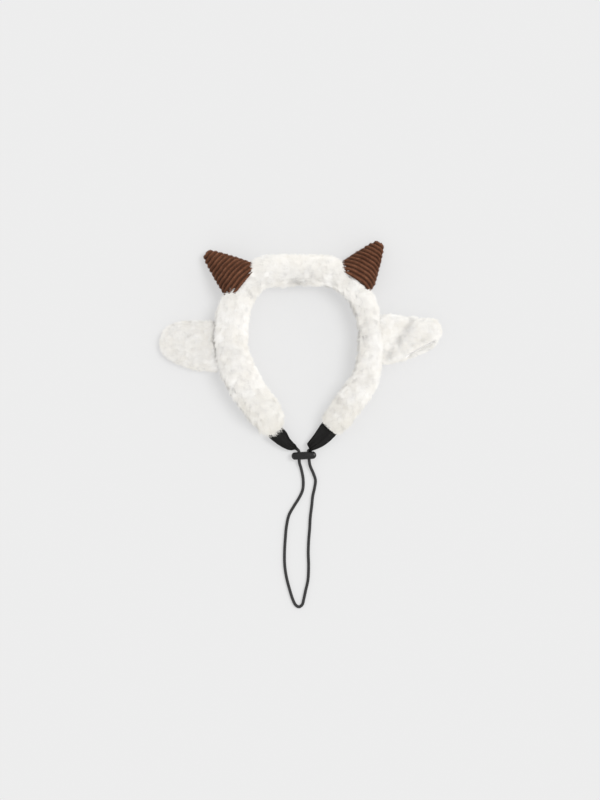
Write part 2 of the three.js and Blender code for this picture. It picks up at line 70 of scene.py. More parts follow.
# Stage: how far the floor reaches in metres, the side of the camera's sensor in millimetres, and the
# way to the softbox.
FLOOR_REACH = 2.5
SENSOR = 36
TO_SOFTBOX = Vector((0.66, 0.24, 1.0))

# Filling: the steps of its cloth, its pressures, the size of its lumps and how low a skin may come.
CLOTH_STEPS = 20
PLUSH_PRESSURE = 4.0
HORN_PRESSURE = 2.0
LARGE_LUMPS = 14 * MM
SMALL_LUMPS = 6 * MM
PLUSH_FLOOR = 0.8 * MM
HORN_SKIN_FLOOR = 0.3 * MM
HORN_FLOOR = 0.1 * MM

# Pile: how its tufts, the locks that its strands are gathered into, differ from each other. Heights,
# leans and curls are shares of a strand's length, and turns are in radians.
TUFT_PACKING = 0.78
TUFT_HEIGHTS = (0.82, 1.0)
TUFT_LEANS = (0.45, 0.95)
TUFT_TURN_SPREAD = 0.3
TUFT_CURL_SPREAD = 0.14
TUFT_SHADE = 0.72
TUFT_SHADE_SPREAD = 0.12
TUFT_TILT = 0.12
TUFT_TILT_SPREAD = 0.09

# Strands: how those of one tuft differ, and the shares of their length at which they are shaped.
STRAND_LENGTHS = (0.82, 1.08)
STRAND_CURL_SPREAD = 0.2
STRAND_WAVE = 0.14
STRAND_WAVE_TURN = 3.4
STRAND_INWARD = 0.1
STRAND_BEND = 1.3
STRAND_STATIONS = (0.0, 0.36, 0.7, 1.0)
STRAY_SHARE = 0.1
STRAY_EXTRA_LENGTH = 0.3
STRAY_EXTRA_HEIGHT = 0.5

# Blades, which strands are made of: their width at each point below the tip as a share of the widest,
# by how many points they have, how far their shading turns upward, and how low they may come.
BLADE_TAPERS = {3: [1.0, 0.6], 4: [1.0, 0.95, 0.62]}
BLADE_SOFTENING = 3.2
BLADE_UNDERSIDE = -0.3
BLADE_FLOOR = 0.25 * MM

# The hoop's middle, and its route as turns in degrees about that middle and reaches in millimetres.
HOOP_CENTRE = Vector((0, -56.3 * MM, 0))
HOOP_TURNS = [256, 248, 237, 210, 182, 155, 126, 102, 78, 54, 30, 6, -22, -45, -60, -72]
HOOP_REACHES = [82, 71, 64, 58, 56, 59, 62, 58, 58, 63, 63, 61, 64, 67, 72, 81]
HOOP_ROUTE_STEPS = 240

# The hoop's skin and pile. Shares are of the way along the hoop from its left end. The pile parts at
# the crown and is longer at the left end. At both ends it is painted darker, a painted shade. Widths of
# strands are in millimetres.
HOOP_SKIN = {"voxel": 4 * MM, "inset": 2.6 * MM, "cap": 1.2 * MM, "lumps": 1.1 * MM}
HOOP_CLEARANCE = 0.7 * MM
HOOP_SCATTER = 3.35
HOOP_STRAND_WIDTHS = (0.36, 0.56)
HOOP_SEED = 7
PARTING_SHARE = 0.06
PARTING_OUTWARD = 1.05
LONG_PILE_SHARE = 0.04
LONG_PILE_EXTRA = 0.7
SHADED_END_SHARE = 0.13
SHADED_END_DEPTH = 0.7

# The lock of the chin cord: its middle, its turn, its size, the rounding of its edges, the bulge of its
# faces, the bevel round its holes, and the places and sizes of its two holes.
LOCK_MIDDLE = Vector((0.00500, -0.15541, 0.0032))
LOCK_TURN = math.radians(3)
LOCK_SIZE = Vector((0.021, 0.0066, 0.0064))
LOCK_EDGE = 1.9 * MM
LOCK_CROWN = 0.25 * MM
LOCK_BEVEL = 0.18 * MM
HOLE_SPACING = 8.4 * MM
HOLE_REACH = 4.1 * MM
HOLE_RADIUS = 1.62 * MM
DRILL_LENGTH = 14 * MM

# The elastic cord: the pitch of its braid, its yarns' lowest place and their rise as shares of its
# radius, and how many rings of its mesh there are from one point of its declared path to the next.
BRAID_PITCH = 7.2 * MM
BRAID_LOW = 0.92
BRAID_RISE = 0.12

# The cord's route as part.mjs gives it, in metres. The loop is counted from the lock's middle.
CORD_FROM_LEFT_TAB = [(-0.0049, -0.1477, 0.0040), (-0.0022, -0.1489, 0.0036)]
CORD_LOOP = [
    (-0.0036, -0.0070, 0.0025),
    (-0.0025, -0.0105, 0.0017),
    (-0.0006, -0.0206, 0.00135),
    (-0.0011, -0.0292, 0.00135),
    (-0.0042, -0.0361, 0.00135),
    (-0.0084, -0.0428, 0.00135),
    (-0.0126, -0.0504, 0.00135),
    (-0.0147, -0.0596, 0.00135),
    (-0.0156, -0.0686, 0.00135),
    (-0.0164, -0.0823, 0.00135),
    (-0.0162, -0.0932, 0.00135),
    (-0.0147, -0.1033, 0.00135),
    (-0.0121, -0.1134, 0.00135),
    (-0.0095, -0.1216, 0.00135),
    (-0.0070, -0.1265, 0.00135),
    (-0.0041, -0.1281, 0.00135),
    (-0.0014, -0.1262, 0.00135),
    (-0.0001, -0.1216, 0.00135),
    (0.0015, -0.1142, 0.00135),
    (0.0034, -0.1056, 0.00135),
    (0.0040, -0.0936, 0.00135),
    (0.0037, -0.0823, 0.00135),
    (0.0041, -0.0714, 0.00135),
    (0.0049, -0.0616, 0.00135),
    (0.0054, -0.0526, 0.00135),
    (0.0066, -0.0428, 0.00135),
    (0.0075, -0.0344, 0.00135),
    (0.0091, -0.0270, 0.00135),
    (0.0098, -0.0210, 0.00135),
    (0.0082, -0.0156, 0.0016),
    (0.0052, -0.0084, 0.0024),
]
CORD_TO_RIGHT_TAB = [(0.0110, -0.1501, 0.0036), (0.0121, -0.1475, 0.0040)]

# Ribbon tabs: the end of the hoop that each is sewn into, its tip above the lock and its rows.
# Of a row, toward is a share of the way from end to tip. The rest is in millimetres: low and high are
# its two edges, aside of that way, and lift is its height. fold shifts its gathers from edge to edge, as
# a share of one wave.
TABS = {
    "ribbon_left": {
        "end": Vector((-0.01936, -0.13571, 0)),
        "tip": Vector((-0.0022, -0.1489, 0)),
        "toward": [-0.124, 0.09, 0.36, 0.6, 0.82, 0.93, 0.97, 1.02],
        "low": [-6.4, -6.8, -6.8, -6.2, -5.0, -3.6, -2.6, -1.3],
        "high": [7.0, 7.2, 6.0, 3.4, 2.4, 2.2, 1.9, 1.3],
        "lift": [7.4, 6.6, 5.6, 4.8, 4.2, 3.9, 3.8, 3.6],
        "fold": 0.15,
    },
    "ribbon_right": {
        "end": Vector((0.02526, -0.13314, 0)),
        "tip": Vector((0.0110, -0.1501, 0)),
        "toward": [-0.151, 0.05, 0.28, 0.46, 0.64, 0.82, 0.93, 0.96, 1.02],
        "low": [-7.4, -7.3, -6.7, -6.2, -5.9, -5.7, -5.6, -4.6, -1.4],
        "high": [8.2, 8.3, 7.8, 7.0, 5.8, 3.9, 2.5, 2.0, 1.4],
        "lift": [7.4, 6.7, 5.8, 5.2, 4.7, 4.2, 3.9, 3.8, 3.6],
        "fold": 0.65,
    },
}

# The ribbon: its thickness, how low it may come, half the gap between its two layers at the hoop and
# what the gathers add to it at the tip, and the height of its waves.
RIBBON_THICKNESS = 0.4 * MM
RIBBON_FLOOR = 0.5 * MM
RIBBON_GAP = 0.35 * MM
RIBBON_GATHER_GAP = 1.5 * MM
RIBBON_WAVE = 0.75 * MM

# The strip beside the right tab's sewn edge that stays clear of pile, before that edge and aside of it.
TAB_CLEAR_BEFORE = 0.6 * MM
TAB_CLEAR_ASIDE = 8.6 * MM

# Horns: the middle of each base, its tip, the width of its base, and its grain, which is how far the
# cloth's wales are turned round it, in radians. The bow is a share of a full cone's.
HORN_SEAT = 8 * MM
HORN_BOW = 0.6
HORN_DEPTH = 25.2 * MM
HORN_CAP = 0.5 * MM
HORNS = {
    "horn_left": {
        "base": Vector((-0.0500, -0.0070, 0.0126)),
        "tip": Vector((-0.0777, 0.0155, 0.0048)),
        "width": 0.034,
        "grain": -0.14,
        "seed": 11,
    },
    "horn_right": {
        "base": Vector((0.0504, -0.0025, 0.0126)),
        "tip": Vector((0.0696, 0.0241, 0.0048)),
        "width": 0.032,
        "grain": 0.18,
        "seed": 12,
    },
}
HORN_ALONG = [-0.3, 0.0, 0.3, 0.5, 0.78, 0.9, 0.97, 1.0]
HORN_GIRTH = [1.0, 1.0, 0.79, 0.63, 0.4, 0.29, 0.18, 0.09]

# The wales' wobble as (waves round the horn, size), how much of it shows, and the wale's profile.
WALE_WOBBLES = [(3, 0.16), (7, 0.1)]
WALE_WOBBLE_SHARE = 0.35
WALE_ROUNDNESS = 0.7

# The horns' cut pile: fibres of a horn, how strongly they keep to the crests, how they lean, and their
# lengths and widths in millimetres.
FIBRES = 5000
FIBRE_CREST_POWER = 4
FIBRE_SCATTER = 0.45
FIBRE_LEAN = 0.35
FIBRE_CURL = 0.6
FIBRE_LENGTHS = (0.35, 0.7)
FIBRE_WIDTHS = (0.22, 0.38)

# Ears: how far from its root an ear is drawn in under the hoop's pile and raised, and its skin and pile.
# Of each ear: the seed of its pile, the side that it is on, the way its pile is brushed, and its tone,
# which is how light its plush is painted beside the hoop's, the same cloth: a painted shade. Widths of
# strands are in millimetres.
EAR_ROOT = 14 * MM
EAR_TUCK = 5 * MM
EAR_RAISE = 5 * MM
EAR_RAISE_FULL = 8 * MM
EAR_SKIN = {"voxel": 2 * MM, "inset": 1.3 * MM, "cap": 0.8 * MM, "lumps": 0.7 * MM}
EAR_TUFT_SIZE = 0.85
EAR_STRAND_WIDTHS = (0.3, 0.46)
EARS = {
    "ear_left": {"seed": 31, "out": -1, "brushed": Vector((-1.0, -0.35, 0)), "shaded_tone": 0.96},
    "ear_right": {"seed": 32, "out": 1, "brushed": Vector((1.0, -0.25, 0)), "shaded_tone": 0.99},
}

# The right ear's valley and the edge of its fold, as places on the floor in millimetres.
EAR_VALLEY = [(92.4, -40.0), (85.7, -53.8), (77.3, -62.2), (72.2, -71.4)]
EAR_FOLD = [(88.2, -72.0), (113.4, -58.4)]
VALLEY_DEPTH = 1.5 * MM
VALLEY_WIDTH = 4.5 * MM

# Forms of the fold as (height, how far behind its edge, width). The front layer swells at its edge, the
# slot is cut behind it, and the back layer lies lower. Only the top of the ear moves, from TOP_START up.
BACK_LAYER_DROP = 5.5 * MM
BACK_LAYER_WIDTH = 1.2 * MM
FOLD_SLOT = (-4 * MM, 1.4 * MM, 1.1 * MM)
FOLD_SWELL = (1.6 * MM, -2 * MM, 3 * MM)
TOP_START = 4 * MM
TOP_FADE = 6 * MM
FOLD_FADE_IN = 0.2
FOLD_END = 1.15
FOLD_FADE_OUT = 0.15

# Pile at the fold: the part of its length that it covers, how much it is trimmed, and the bare line.
FOLD_PILE_FROM = 0.02
FOLD_PILE_TO = 1.08
FOLD_TRIM = 0.75
FOLD_TRIM_WIDTH = 2 * MM
FOLD_BARE_MIDDLE = 0.9 * MM
FOLD_BARE_REACH = 1.0 * MM


def linear(hex_colour, alpha=True):
    """Turns an sRGB hex colour into Blender's linear colour."""
    digits = hex_colour.lstrip("#")
    parts = [int(digits[i : i + 2], 16) / 255 for i in (0, 2, 4)]
    values = [c / 12.92 if c <= 0.04045 else ((c + 0.055) / 1.055) ** 2.4 for c in parts]
    return (*values, 1.0) if alpha else tuple(values)


# Settings of the sidebar


class StageSettings(PropertyGroup):
    """Camera, floor and light."""

    camera_height: FloatProperty(
        name="Camera height",
        description="Height of the camera over the hoop",
        default=1.6,
        min=0.4,
        unit="LENGTH",
    )
    sky: FloatProperty(
        name="Sky light", description="Strength of the light from all round", default=0.7, min=0
    )
    sun: FloatProperty(
        name="Softbox light", description="Strength of the light from one side", default=1.47, min=0
    )
    sun_spread: FloatProperty(
        name="Softbox spread",
        description="Angle that the soft light fills",
        default=math.radians(26),
        subtype="ANGLE",
    )
    floor_colour: FloatVectorProperty(
        name="Floor",
        description="Colour of the floor",
        default=linear("#a1a1a1", False),
        subtype="COLOR",
        size=3,
    )
    floor_glow: FloatProperty(
        name="Floor glow", description="Light of the backlit floor", default=0.465, min=0
    )


class PlushSettings(PropertyGroup):
    """Pile of the hoop and the ears."""

    pile_length: FloatProperty(
        name="Pile length", description="Length of the hoop's pile", default=4.6 * MM, unit="LENGTH"
    )
    ear_pile_length: FloatProperty(
        name="Ear pile length", description="Length of the ears' pile", default=3.4 * MM, unit="LENGTH"
    )
    lock_pitch: FloatProperty(
        name="Lock pitch", description="Spacing of the pile's locks", default=3.5 * MM, unit="LENGTH"
    )
    hoop_strands: IntProperty(
        name="Hoop strands",
        description="Strands in each third of the hoop",
        default=36000,
        min=100,
        max=39000,
    )
    ear_strands: IntProperty(
        name="Ear strands", description="Strands on each ear", default=20000, min=100, max=39000
    )
    colour: FloatVectorProperty(
        name="Plush",
        description="Colour of the pile",
        default=linear("#fdfcfa", False),
        subtype="COLOR",
        size=3,
    )


class HornSettings(PropertyGroup):
    """Ribbed cloth of the horns."""

    wale_pitch: FloatProperty(
        name="Wale pitch", description="Spacing of the cloth's ribs", default=3.8 * MM, unit="LENGTH"
    )
    wale_rise: FloatProperty(
        name="Wale rise", description="Height of the ribs", default=1.9 * MM, unit="LENGTH"
    )
    colour: FloatVectorProperty(
        name="Corduroy",
        description="Colour of the ribs",
        default=linear("#764e39", False),
        subtype="COLOR",
        size=3,
    )


class StrapSettings(PropertyGroup):
    """Chin cord, lock and ribbon tabs."""

    cord_diameter: FloatProperty(
        name="Cord diameter", description="Diameter of the elastic cord", default=2.6 * MM, unit="LENGTH"
    )
    ribbon_width: FloatProperty(
        name="Ribbon width", description="Width of the ribbon", default=14 * MM, unit="LENGTH"
    )
    ribbon_colour: FloatVectorProperty(
        name="Ribbon",
        description="Colour of the ribbon",
        default=linear("#131211", False),
        subtype="COLOR",
        size=3,
    )
    lock_colour: FloatVectorProperty(
        name="Lock",
        description="Colour of the lock",
        default=linear("#0f0f0f", False),
        subtype="COLOR",
        size=3,
    )
    cord_colour: FloatVectorProperty(
        name="Cord",
        description="Colour of the cord",
        default=linear("#1e1d1d", False),
        subtype="COLOR",
        size=3,
    )


# Material nodes


def add_node(tree, kind, inputs=None, links=None, **settings):
    """Adds one node with its settings, its input values and the links into it."""
    node = tree.nodes.new(kind)
    for key, value in settings.items():
        setattr(node, key, value)
    for key, value in (inputs or {}).items():
        node.inputs[key].default_value = value
    for key, source in (links or {}).items():
        tree.links.new(source, node.inputs[key])
    return node


def new_material(name, **sockets):
    """A material with one principled shader whose sockets hold the given values."""
    material = bpy.data.materials.new(name)
    material.use_nodes = True
    shader = material.node_tree.nodes["Principled BSDF"]
    for key, value in sockets.items():
        shader.inputs[key.replace("_", " ")].default_value = value
    return material, material.node_tree, shader


def noise(tree, place, size, detail=3.0):
    """Noise whose features are about size metres apart."""
    node = add_node(tree, "ShaderNodeTexNoise", {"Scale": 1 / size, "Detail": detail}, {"Vector": place})
    return node.outputs["Factor" if "Factor" in node.outputs else "Fac"]


def ramp(tree, source, stops):
    """Turns a value into a colour along stops of (place, linear colour)."""
    node = add_node(tree, "ShaderNodeValToRGB", links={"Fac": source})
    node.color_ramp.elements[0].position, node.color_ramp.elements[0].color = stops[0]
    node.color_ramp.elements[1].position, node.color_ramp.elements[1].color = stops[-1]
    for place, colour in stops[1:-1]:
        node.color_ramp.elements.new(place).color = colour
    return node.outputs["Color"]


def blend_colours(tree, factor, first, second, kind="MIX"):
    """Blends two colours, each given as a colour or as a socket."""
    node = add_node(tree, "ShaderNodeMix", data_type="RGBA", blend_type=kind)
    for key, value in (("Factor", factor), ("A", first), ("B", second)):
        sockets = [s for s in node.inputs if s.name == key and s.enabled]
        if hasattr(value, "is_output"):
            tree.links.new(value, sockets[0])
        else:
            sockets[0].default_value = value
    return next(s for s in node.outputs if s.enabled)


def maths(tree, operation, first, second=None):
    """One step of arithmetic on values, each given as a number or as a socket."""
    node = add_node(tree, "ShaderNodeMath", operation=operation)
    for key, value in enumerate((first, second)):
        if value is None:
            continue
        if hasattr(value, "is_output"):
            tree.links.new(value, node.inputs[key])
        else:
            node.inputs[key].default_value = value
    return node.outputs[0]


def bump(tree, shader, height, depth, strength=1.0):
    """Joins a height to the shader's normal. depth is the real depth of the relief."""
    node = add_node(tree, "ShaderNodeBump", {"Strength": strength, "Distance": depth}, {"Height": height})
    tree.links.new(node.outputs["Normal"], shader.inputs["Normal"])


def attribute(tree, name):
    return add_node(tree, "ShaderNodeAttribute", attribute_name=name).outputs["Fac"]


def object_place(tree):
    return add_node(tree, "ShaderNodeTexCoord").outputs["Object"]


def toned(colour, share):
    """A colour made lighter or darker by a share."""
    return (*[min(c * share, 1.0) for c in colour], 1.0)


def plush_pile_material(colour):
    # Polyester faux lambswool, knitted and then brushed up into short curly locks. The eye sees a soft
    # warm white, and some locks greyer. Each strand is painted a little darker at its root and palest at
    # its tip, a painted shade down in the pile.
    material, tree, shader = new_material(
        "plush_pile",
        Roughness=0.9,
        IOR=1.5,
        Sheen_Weight=0.35,
        Sheen_Roughness=0.5,
        Specular_IOR_Level=0.15,
    )
    place = object_place(tree)
    # Painted shade: each strand is darker at its root, down in the pile, and palest at its tip.
    strand = ramp(
        tree,
        attribute(tree, "along"),
        [(0.0, toned(colour, 0.9)), (0.45, toned(colour, 0.97)), (1.0, toned(colour, 1.0))],
    )
    cloudy = noise(tree, place, 14 * MM)
    patches = ramp(tree, cloudy, [(0.35, linear("#fbfaf8")), (0.65, linear("#ffffff"))])
    # Some locks are greyer at random. On the hoop, the locks near its ends also carry painted shade.
    own = ramp(tree, attribute(tree, "shade"), [(0.0, linear("#f0efec")), (1.0, linear("#ffffff"))])
    mixed = blend_colours(tree, 1.0, strand, patches, "MULTIPLY")
    mixed = blend_colours(tree, 1.0, mixed, own, "MULTIPLY")
    tree.links.new(mixed, shader.inputs["Base Color"])
    glowing = add_node(tree, "ShaderNodeBsdfTranslucent", links={"Color": mixed})
    layers = {1: shader.outputs[0], 2: glowing.outputs[0]}
    both = add_node(tree, "ShaderNodeMixShader", {0: 0.08}, layers)
    tree.links.new(both.outputs[0], tree.nodes["Material Output"].inputs["Surface"])
    return material


def plush_backing_material(colour):
    # The knitted ground of the plush between its locks, dense with the roots of the pile: the same
    # white, painted a little darker as the shade down in the pile, with a fine fibrous relief about 0.6 mm
    # apart.
    material, tree, shader = new_material(
        "plush_backing", Roughness=0.95, IOR=1.5, Sheen_Weight=0.3, Sheen_Roughness=0.5
    )
    place = object_place(tree)
    cloudy = noise(tree, place, 3.5 * MM)
    # Painted shade: the ground is darker than the pile that stands over it.
    base = ramp(tree, cloudy, [(0.3, toned(colour, 0.9)), (0.7, toned(colour, 0.96))])
    tree.links.new(base, shader.inputs["Base Color"])
    bump(tree, shader, noise(tree, place, 0.6 * MM, detail=4.0), depth=0.4 * MM, strength=0.7)
    return material


def corduroy_material(colour):
    # Cotton corduroy: cut pile in raised wales with bare weave between them. The wales' crests are painted
    # lighter, a painted highlight, their grooves darker, a painted shade, and brushed patches are lighter
    # or darker.
    material, tree, shader = new_material(
        "cotton_corduroy",
        Roughness=0.92,
        IOR=1.5,
        Sheen_Weight=0.35,
        Sheen_Roughness=0.4,
        Specular_IOR_Level=0.2,
    )
    shader.inputs["Sheen Tint"].default_value = linear("#c9a58e")
    place = object_place(tree)
    # Painted highlight on the wales' crests and painted shade in their grooves.
    lit_and_shaded_tones = [(0.0, 0.5), (0.4, 0.8), (0.88, 1.1), (1.0, 1.9)]
    wale = ramp(tree, attribute(tree, "crest"), [(height, toned(colour, share)) for height, share in lit_and_shaded_tones])
    patches = noise(tree, place, 7 * MM)
    brushed = ramp(tree, patches, [(0.3, linear("#c4bcb6")), (0.7, linear("#ffffff"))])
    fine = noise(tree, place, 0.8 * MM, detail=4.0)
    tufts = ramp(tree, fine, [(0.3, linear("#a89f98")), (0.7, linear("#ffffff"))])
    mixed = blend_colours(tree, 1.0, wale, brushed, "MULTIPLY")
    mixed = blend_colours(tree, 0.85, mixed, tufts, "MULTIPLY")
    tree.links.new(mixed, shader.inputs["Base Color"])
    bump(tree, shader, noise(tree, place, 0.5 * MM, detail=4.0), depth=0.25 * MM, strength=0.8)
    return material


def corduroy_pile_material(colour):
    # The cut ends of the wales' cotton pile: short fibres that stand up and catch the light. Each is
    # painted darker at its root and lighter at its tip, a painted shade and a painted highlight.
    material, tree, shader = new_material(
        "corduroy_pile",
        Roughness=0.95,
        IOR=1.5,
        Sheen_Weight=0.3,
        Sheen_Roughness=0.4,
        Specular_IOR_Level=0.15,
    )
    shader.inputs["Sheen Tint"].default_value = linear("#c9a58e")
    # Painted shade at each fibre's root and painted highlight at its tip.
    fibre_shade_and_highlight = ramp(tree, attribute(tree, "along"), [(0.0, toned(colour, 0.6)), (1.0, toned(colour, 1.35))])
    own = ramp(tree, attribute(tree, "shade"), [(0.0, linear("#b8aca4")), (1.0, linear("#ffffff"))])
    mixed = blend_colours(tree, 1.0, fibre_shade_and_highlight, own, "MULTIPLY")
    tree.links.new(mixed, shader.inputs["Base Color"])
    return material


def ribbon_material(colour):
    # Polyester grosgrain ribbon, woven with cross ribs and heat cut. The real ribs are about 0.35 mm
    # apart. They are drawn 0.7 mm apart, so that they still show. Their crests are painted lighter and
    # their hollows darker, a painted sheen across the tab.
    material, tree, shader = new_material(
        "polyester_grosgrain", Roughness=0.6, IOR=1.55, Specular_IOR_Level=0.2
    )
    place = object_place(tree)
    along = attribute(tree, "metres_along")
    across = attribute(tree, "metres_across")
    rib_pitch = 0.7 * MM
    warp_pitch = 0.55 * MM
    ribs = maths(tree, "SINE", maths(tree, "MULTIPLY", along, 2 * math.pi / rib_pitch))
    warp = maths(tree, "SINE", maths(tree, "MULTIPLY", across, 2 * math.pi / warp_pitch))
    weave = maths(tree, "ADD", ribs, maths(tree, "MULTIPLY", warp, 0.35))
    # Painted sheen: the ribs' crests lighter and their hollows darker.
    tone = ramp(tree, weave, [(0.0, toned(colour, 0.85)), (1.0, toned(colour, 1.3))])
    worn = ramp(tree, noise(tree, place, 4 * MM), [(0.35, linear("#cfcbc8")), (0.7, linear("#ffffff"))])
    mixed = blend_colours(tree, 1.0, tone, worn, "MULTIPLY")
    tree.links.new(mixed, shader.inputs["Base Color"])
    bump(tree, shader, weave, depth=0.08 * MM, strength=0.6)
    return material


def lock_material(colour):
    # Acetal, injection moulded with a fine spark-eroded texture: satin black with a soft gloss that
    # breaks up into faint grain and rubbed spots.
    material, tree, shader = new_material("moulded_acetal", IOR=1.48)
    place = object_place(tree)
    cloudy = noise(tree, place, 2.5 * MM)
    tone = ramp(tree, cloudy, [(0.3, toned(colour, 0.9)), (0.75, toned(colour, 1.35))])
    tree.links.new(tone, shader.inputs["Base Color"])
    gloss = ramp(tree, cloudy, [(0.3, linear("#7a7a7a")), (0.7, linear("#929292"))])
    tree.links.new(gloss, shader.inputs["Roughness"])
    bump(tree, shader, noise(tree, place, 0.25 * MM), depth=0.03 * MM, strength=0.4)
    return material


def elastic_material(colour):
    # Elastic cord: a rubber core in a braided polyester sleeve. The crossed yarns are dull black. Where
    # each one comes up over its neighbour it is painted pale, a painted glint, and where it dips it is
    # painted darker, a painted shade.
    material, tree, shader = new_material(
        "braided_elastic", Roughness=0.7, IOR=1.5, Sheen_Weight=0.4, Sheen_Roughness=0.5
    )
    place = object_place(tree)
    lit_and_shaded_tones = [(0.0, 0.3), (0.6, 1.0), (1.0, 2.2)]
    # Painted glints on the yarns' crests and painted shade where they dip.
    yarn_glints_and_shade = ramp(tree, attribute(tree, "crest"), [(height, toned(colour, share)) for height, share in lit_and_shaded_tones])
    spots = noise(tree, place, 1.1 * MM)
    glints = ramp(tree, spots, [(0.4, linear("#9a9896")), (0.7, linear("#ffffff"))])
    mixed = blend_colours(tree, 1.0, yarn_glints_and_shade, glints, "MULTIPLY")
    tree.links.new(mixed, shader.inputs["Base Color"])
    bump(tree, shader, noise(tree, place, 0.3 * MM), depth=0.06 * MM, strength=0.6)
    return material


def floor_material(colour, glow):
    # Translucent white acrylic over a light table, as in a product studio: even and pale, with no
    # gloss, and lit from below so that shadows on it stay light.
    material, tree, shader = new_material("lit_acrylic", Roughness=1.0, IOR=1.49, Specular_IOR_Level=0.0)
    shader.inputs["Emission Color"].default_value = (1, 1, 1, 1)
    shader.inputs["Emission Strength"].default_value = glow
    cloudy = noise(tree, object_place(tree), 30 * MM)
    fine = ramp(tree, cloudy, [(0.0, toned(colour, 0.995)), (1.0, toned(colour, 1.0))])
    tree.links.new(fine, shader.inputs["Base Color"])
    return material


# Mesh making


def mesh_object(name, points, faces, material):
    """An object at the origin from an array of points and arrays of faces with equal corner counts."""
    mesh = bpy.data.meshes.new(name)
    corners = np.concatenate([f.reshape(-1) for f in faces]).astype(np.int32)
    counts = np.concatenate([np.full(len(f), f.shape[1]) for f in faces])
    starts = np.concatenate(([0], np.cumsum(counts)[:-1])).astype(np.int32)
    mesh.vertices.add(len(points))
    mesh.vertices.foreach_set("co", points.astype(np.float32).reshape(-1))
    mesh.loops.add(len(corners))
    mesh.loops.foreach_set("vertex_index", corners)
    mesh.polygons.add(len(starts))
    mesh.polygons.foreach_set("loop_start", starts)
    mesh.update(calc_edges=True)
    mesh.validate()
    mesh.polygons.foreach_set("use_smooth", np.ones(len(mesh.polygons), dtype=bool))
    mesh.materials.append(material)
    piece = bpy.data.objects.new(name, mesh)
    bpy.context.collection.objects.link(piece)
    return piece


def set_attribute(piece, name, values):
    layer = piece.data.attributes.new(name, "FLOAT", "POINT")
    layer.data.foreach_set("value", values.astype(np.float32))


def points_of(mesh):
    places = np.empty(len(mesh.vertices) * 3, dtype=np.float32)
    mesh.vertices.foreach_get("co", places)
    return places.reshape(-1, 3).astype(float)


def set_points(mesh, points):
    mesh.vertices.foreach_set("co", points.astype(np.float32).reshape(-1))
    mesh.update()


def unit(vectors):
    return vectors / np.maximum(np.linalg.norm(vectors, axis=-1, keepdims=True), 1e-12)


def normals_of(mesh):
    values = np.empty(len(mesh.vertices) * 3, dtype=np.float32)
    mesh.vertex_normals.foreach_get("vector", values)
    return values.reshape(-1, 3).astype(float)


def bake_modifiers(piece):
    """Replaces a piece's mesh with its evaluated one and clears the modifiers."""
    shape = piece.evaluated_get(bpy.context.evaluated_depsgraph_get())
    mesh = bpy.data.meshes.new_from_object(shape)
    piece.modifiers.clear()
    old = piece.data
    piece.data = mesh
    bpy.data.meshes.remove(old)


def smooth_route(points, steps):
    """Places on a smooth curve through points, spaced evenly along it."""
    knots = np.array([tuple(p) for p in points], dtype=float)
    spans = np.linalg.norm(np.diff(knots, axis=0), axis=1) ** 0.5
    times = np.concatenate(([0], np.cumsum(spans)))
    slopes = np.gradient(knots, times, axis=0)
    fine = np.linspace(0, times[-1], steps * 6)
    span = np.clip(np.searchsorted(times, fine, side="right") - 1, 0, len(spans) - 1)
    width = spans[span][:, None]
    t = (fine - times[span])[:, None] / width
    places = (
        (2 * t**3 - 3 * t**2 + 1) * knots[span]
        + (t**3 - 2 * t**2 + t) * width * slopes[span]
        + (3 * t**2 - 2 * t**3) * knots[span + 1]
        + (t**3 - t**2) * width * slopes[span + 1]
    )
    lengths = np.concatenate(([0], np.cumsum(np.linalg.norm(np.diff(places, axis=0), axis=1))))
    even = np.linspace(0, lengths[-1], steps)
    return np.stack([np.interp(even, lengths, places[:, k]) for k in range(3)], axis=1), lengths[-1]


def tube_faces(rings, sides):
    """Quads of an open grid of rings, each closed round its sides."""
    ring, side = np.meshgrid(np.arange(rings - 1), np.arange(sides), indexing="ij")
    after = (side + 1) % sides
    first = ring * sides
    corners = [first + side, first + after, first + sides + after, first + sides + side]
    return np.stack(corners, -1).reshape(-1, 4)


def cap_faces(ring, sides, centre, turned):
    """Triangles from one ring to the point in its middle, turned over where they close a tube's start."""
    side = ring * sides + np.arange(sides)
    after = ring * sides + (np.arange(sides) + 1) % sides
    pair = (after, side) if turned else (side, after)
    return np.stack([*pair, np.full(sides, centre)], -1)


def closed_tube_faces(rings, sides):
    """Faces of a tube whose ends close on the two points that follow its rings."""
    count = rings * sides
    return [
        tube_faces(rings, sides),
        cap_faces(0, sides, count, True),
        cap_faces(rings - 1, sides, count + 1, False),
    ]


def tube_points(middles, aside, upward, wide, deep, turn):
    """Points of rings round middles, wide and deep from them, and then the middles of both ends."""
    rings = (
        middles[:, None, :]
        + np.broadcast_to(aside, middles.shape)[:, None, :] * (wide * np.cos(turn))[:, :, None]
        + np.broadcast_to(upward, middles.shape)[:, None, :] * (deep * np.sin(turn))[:, :, None]
    )
    return np.vstack([rings.reshape(-1, 3), middles[:1], middles[-1:]])


def grid_faces(rows, columns):
    """Quads of a flat grid of points."""
    row, column = np.meshgrid(np.arange(rows - 1), np.arange(columns - 1), indexing="ij")
    first = row * columns + column
    return np.stack([first, first + 1, first + columns + 1, first + columns], -1).reshape(-1, 4)


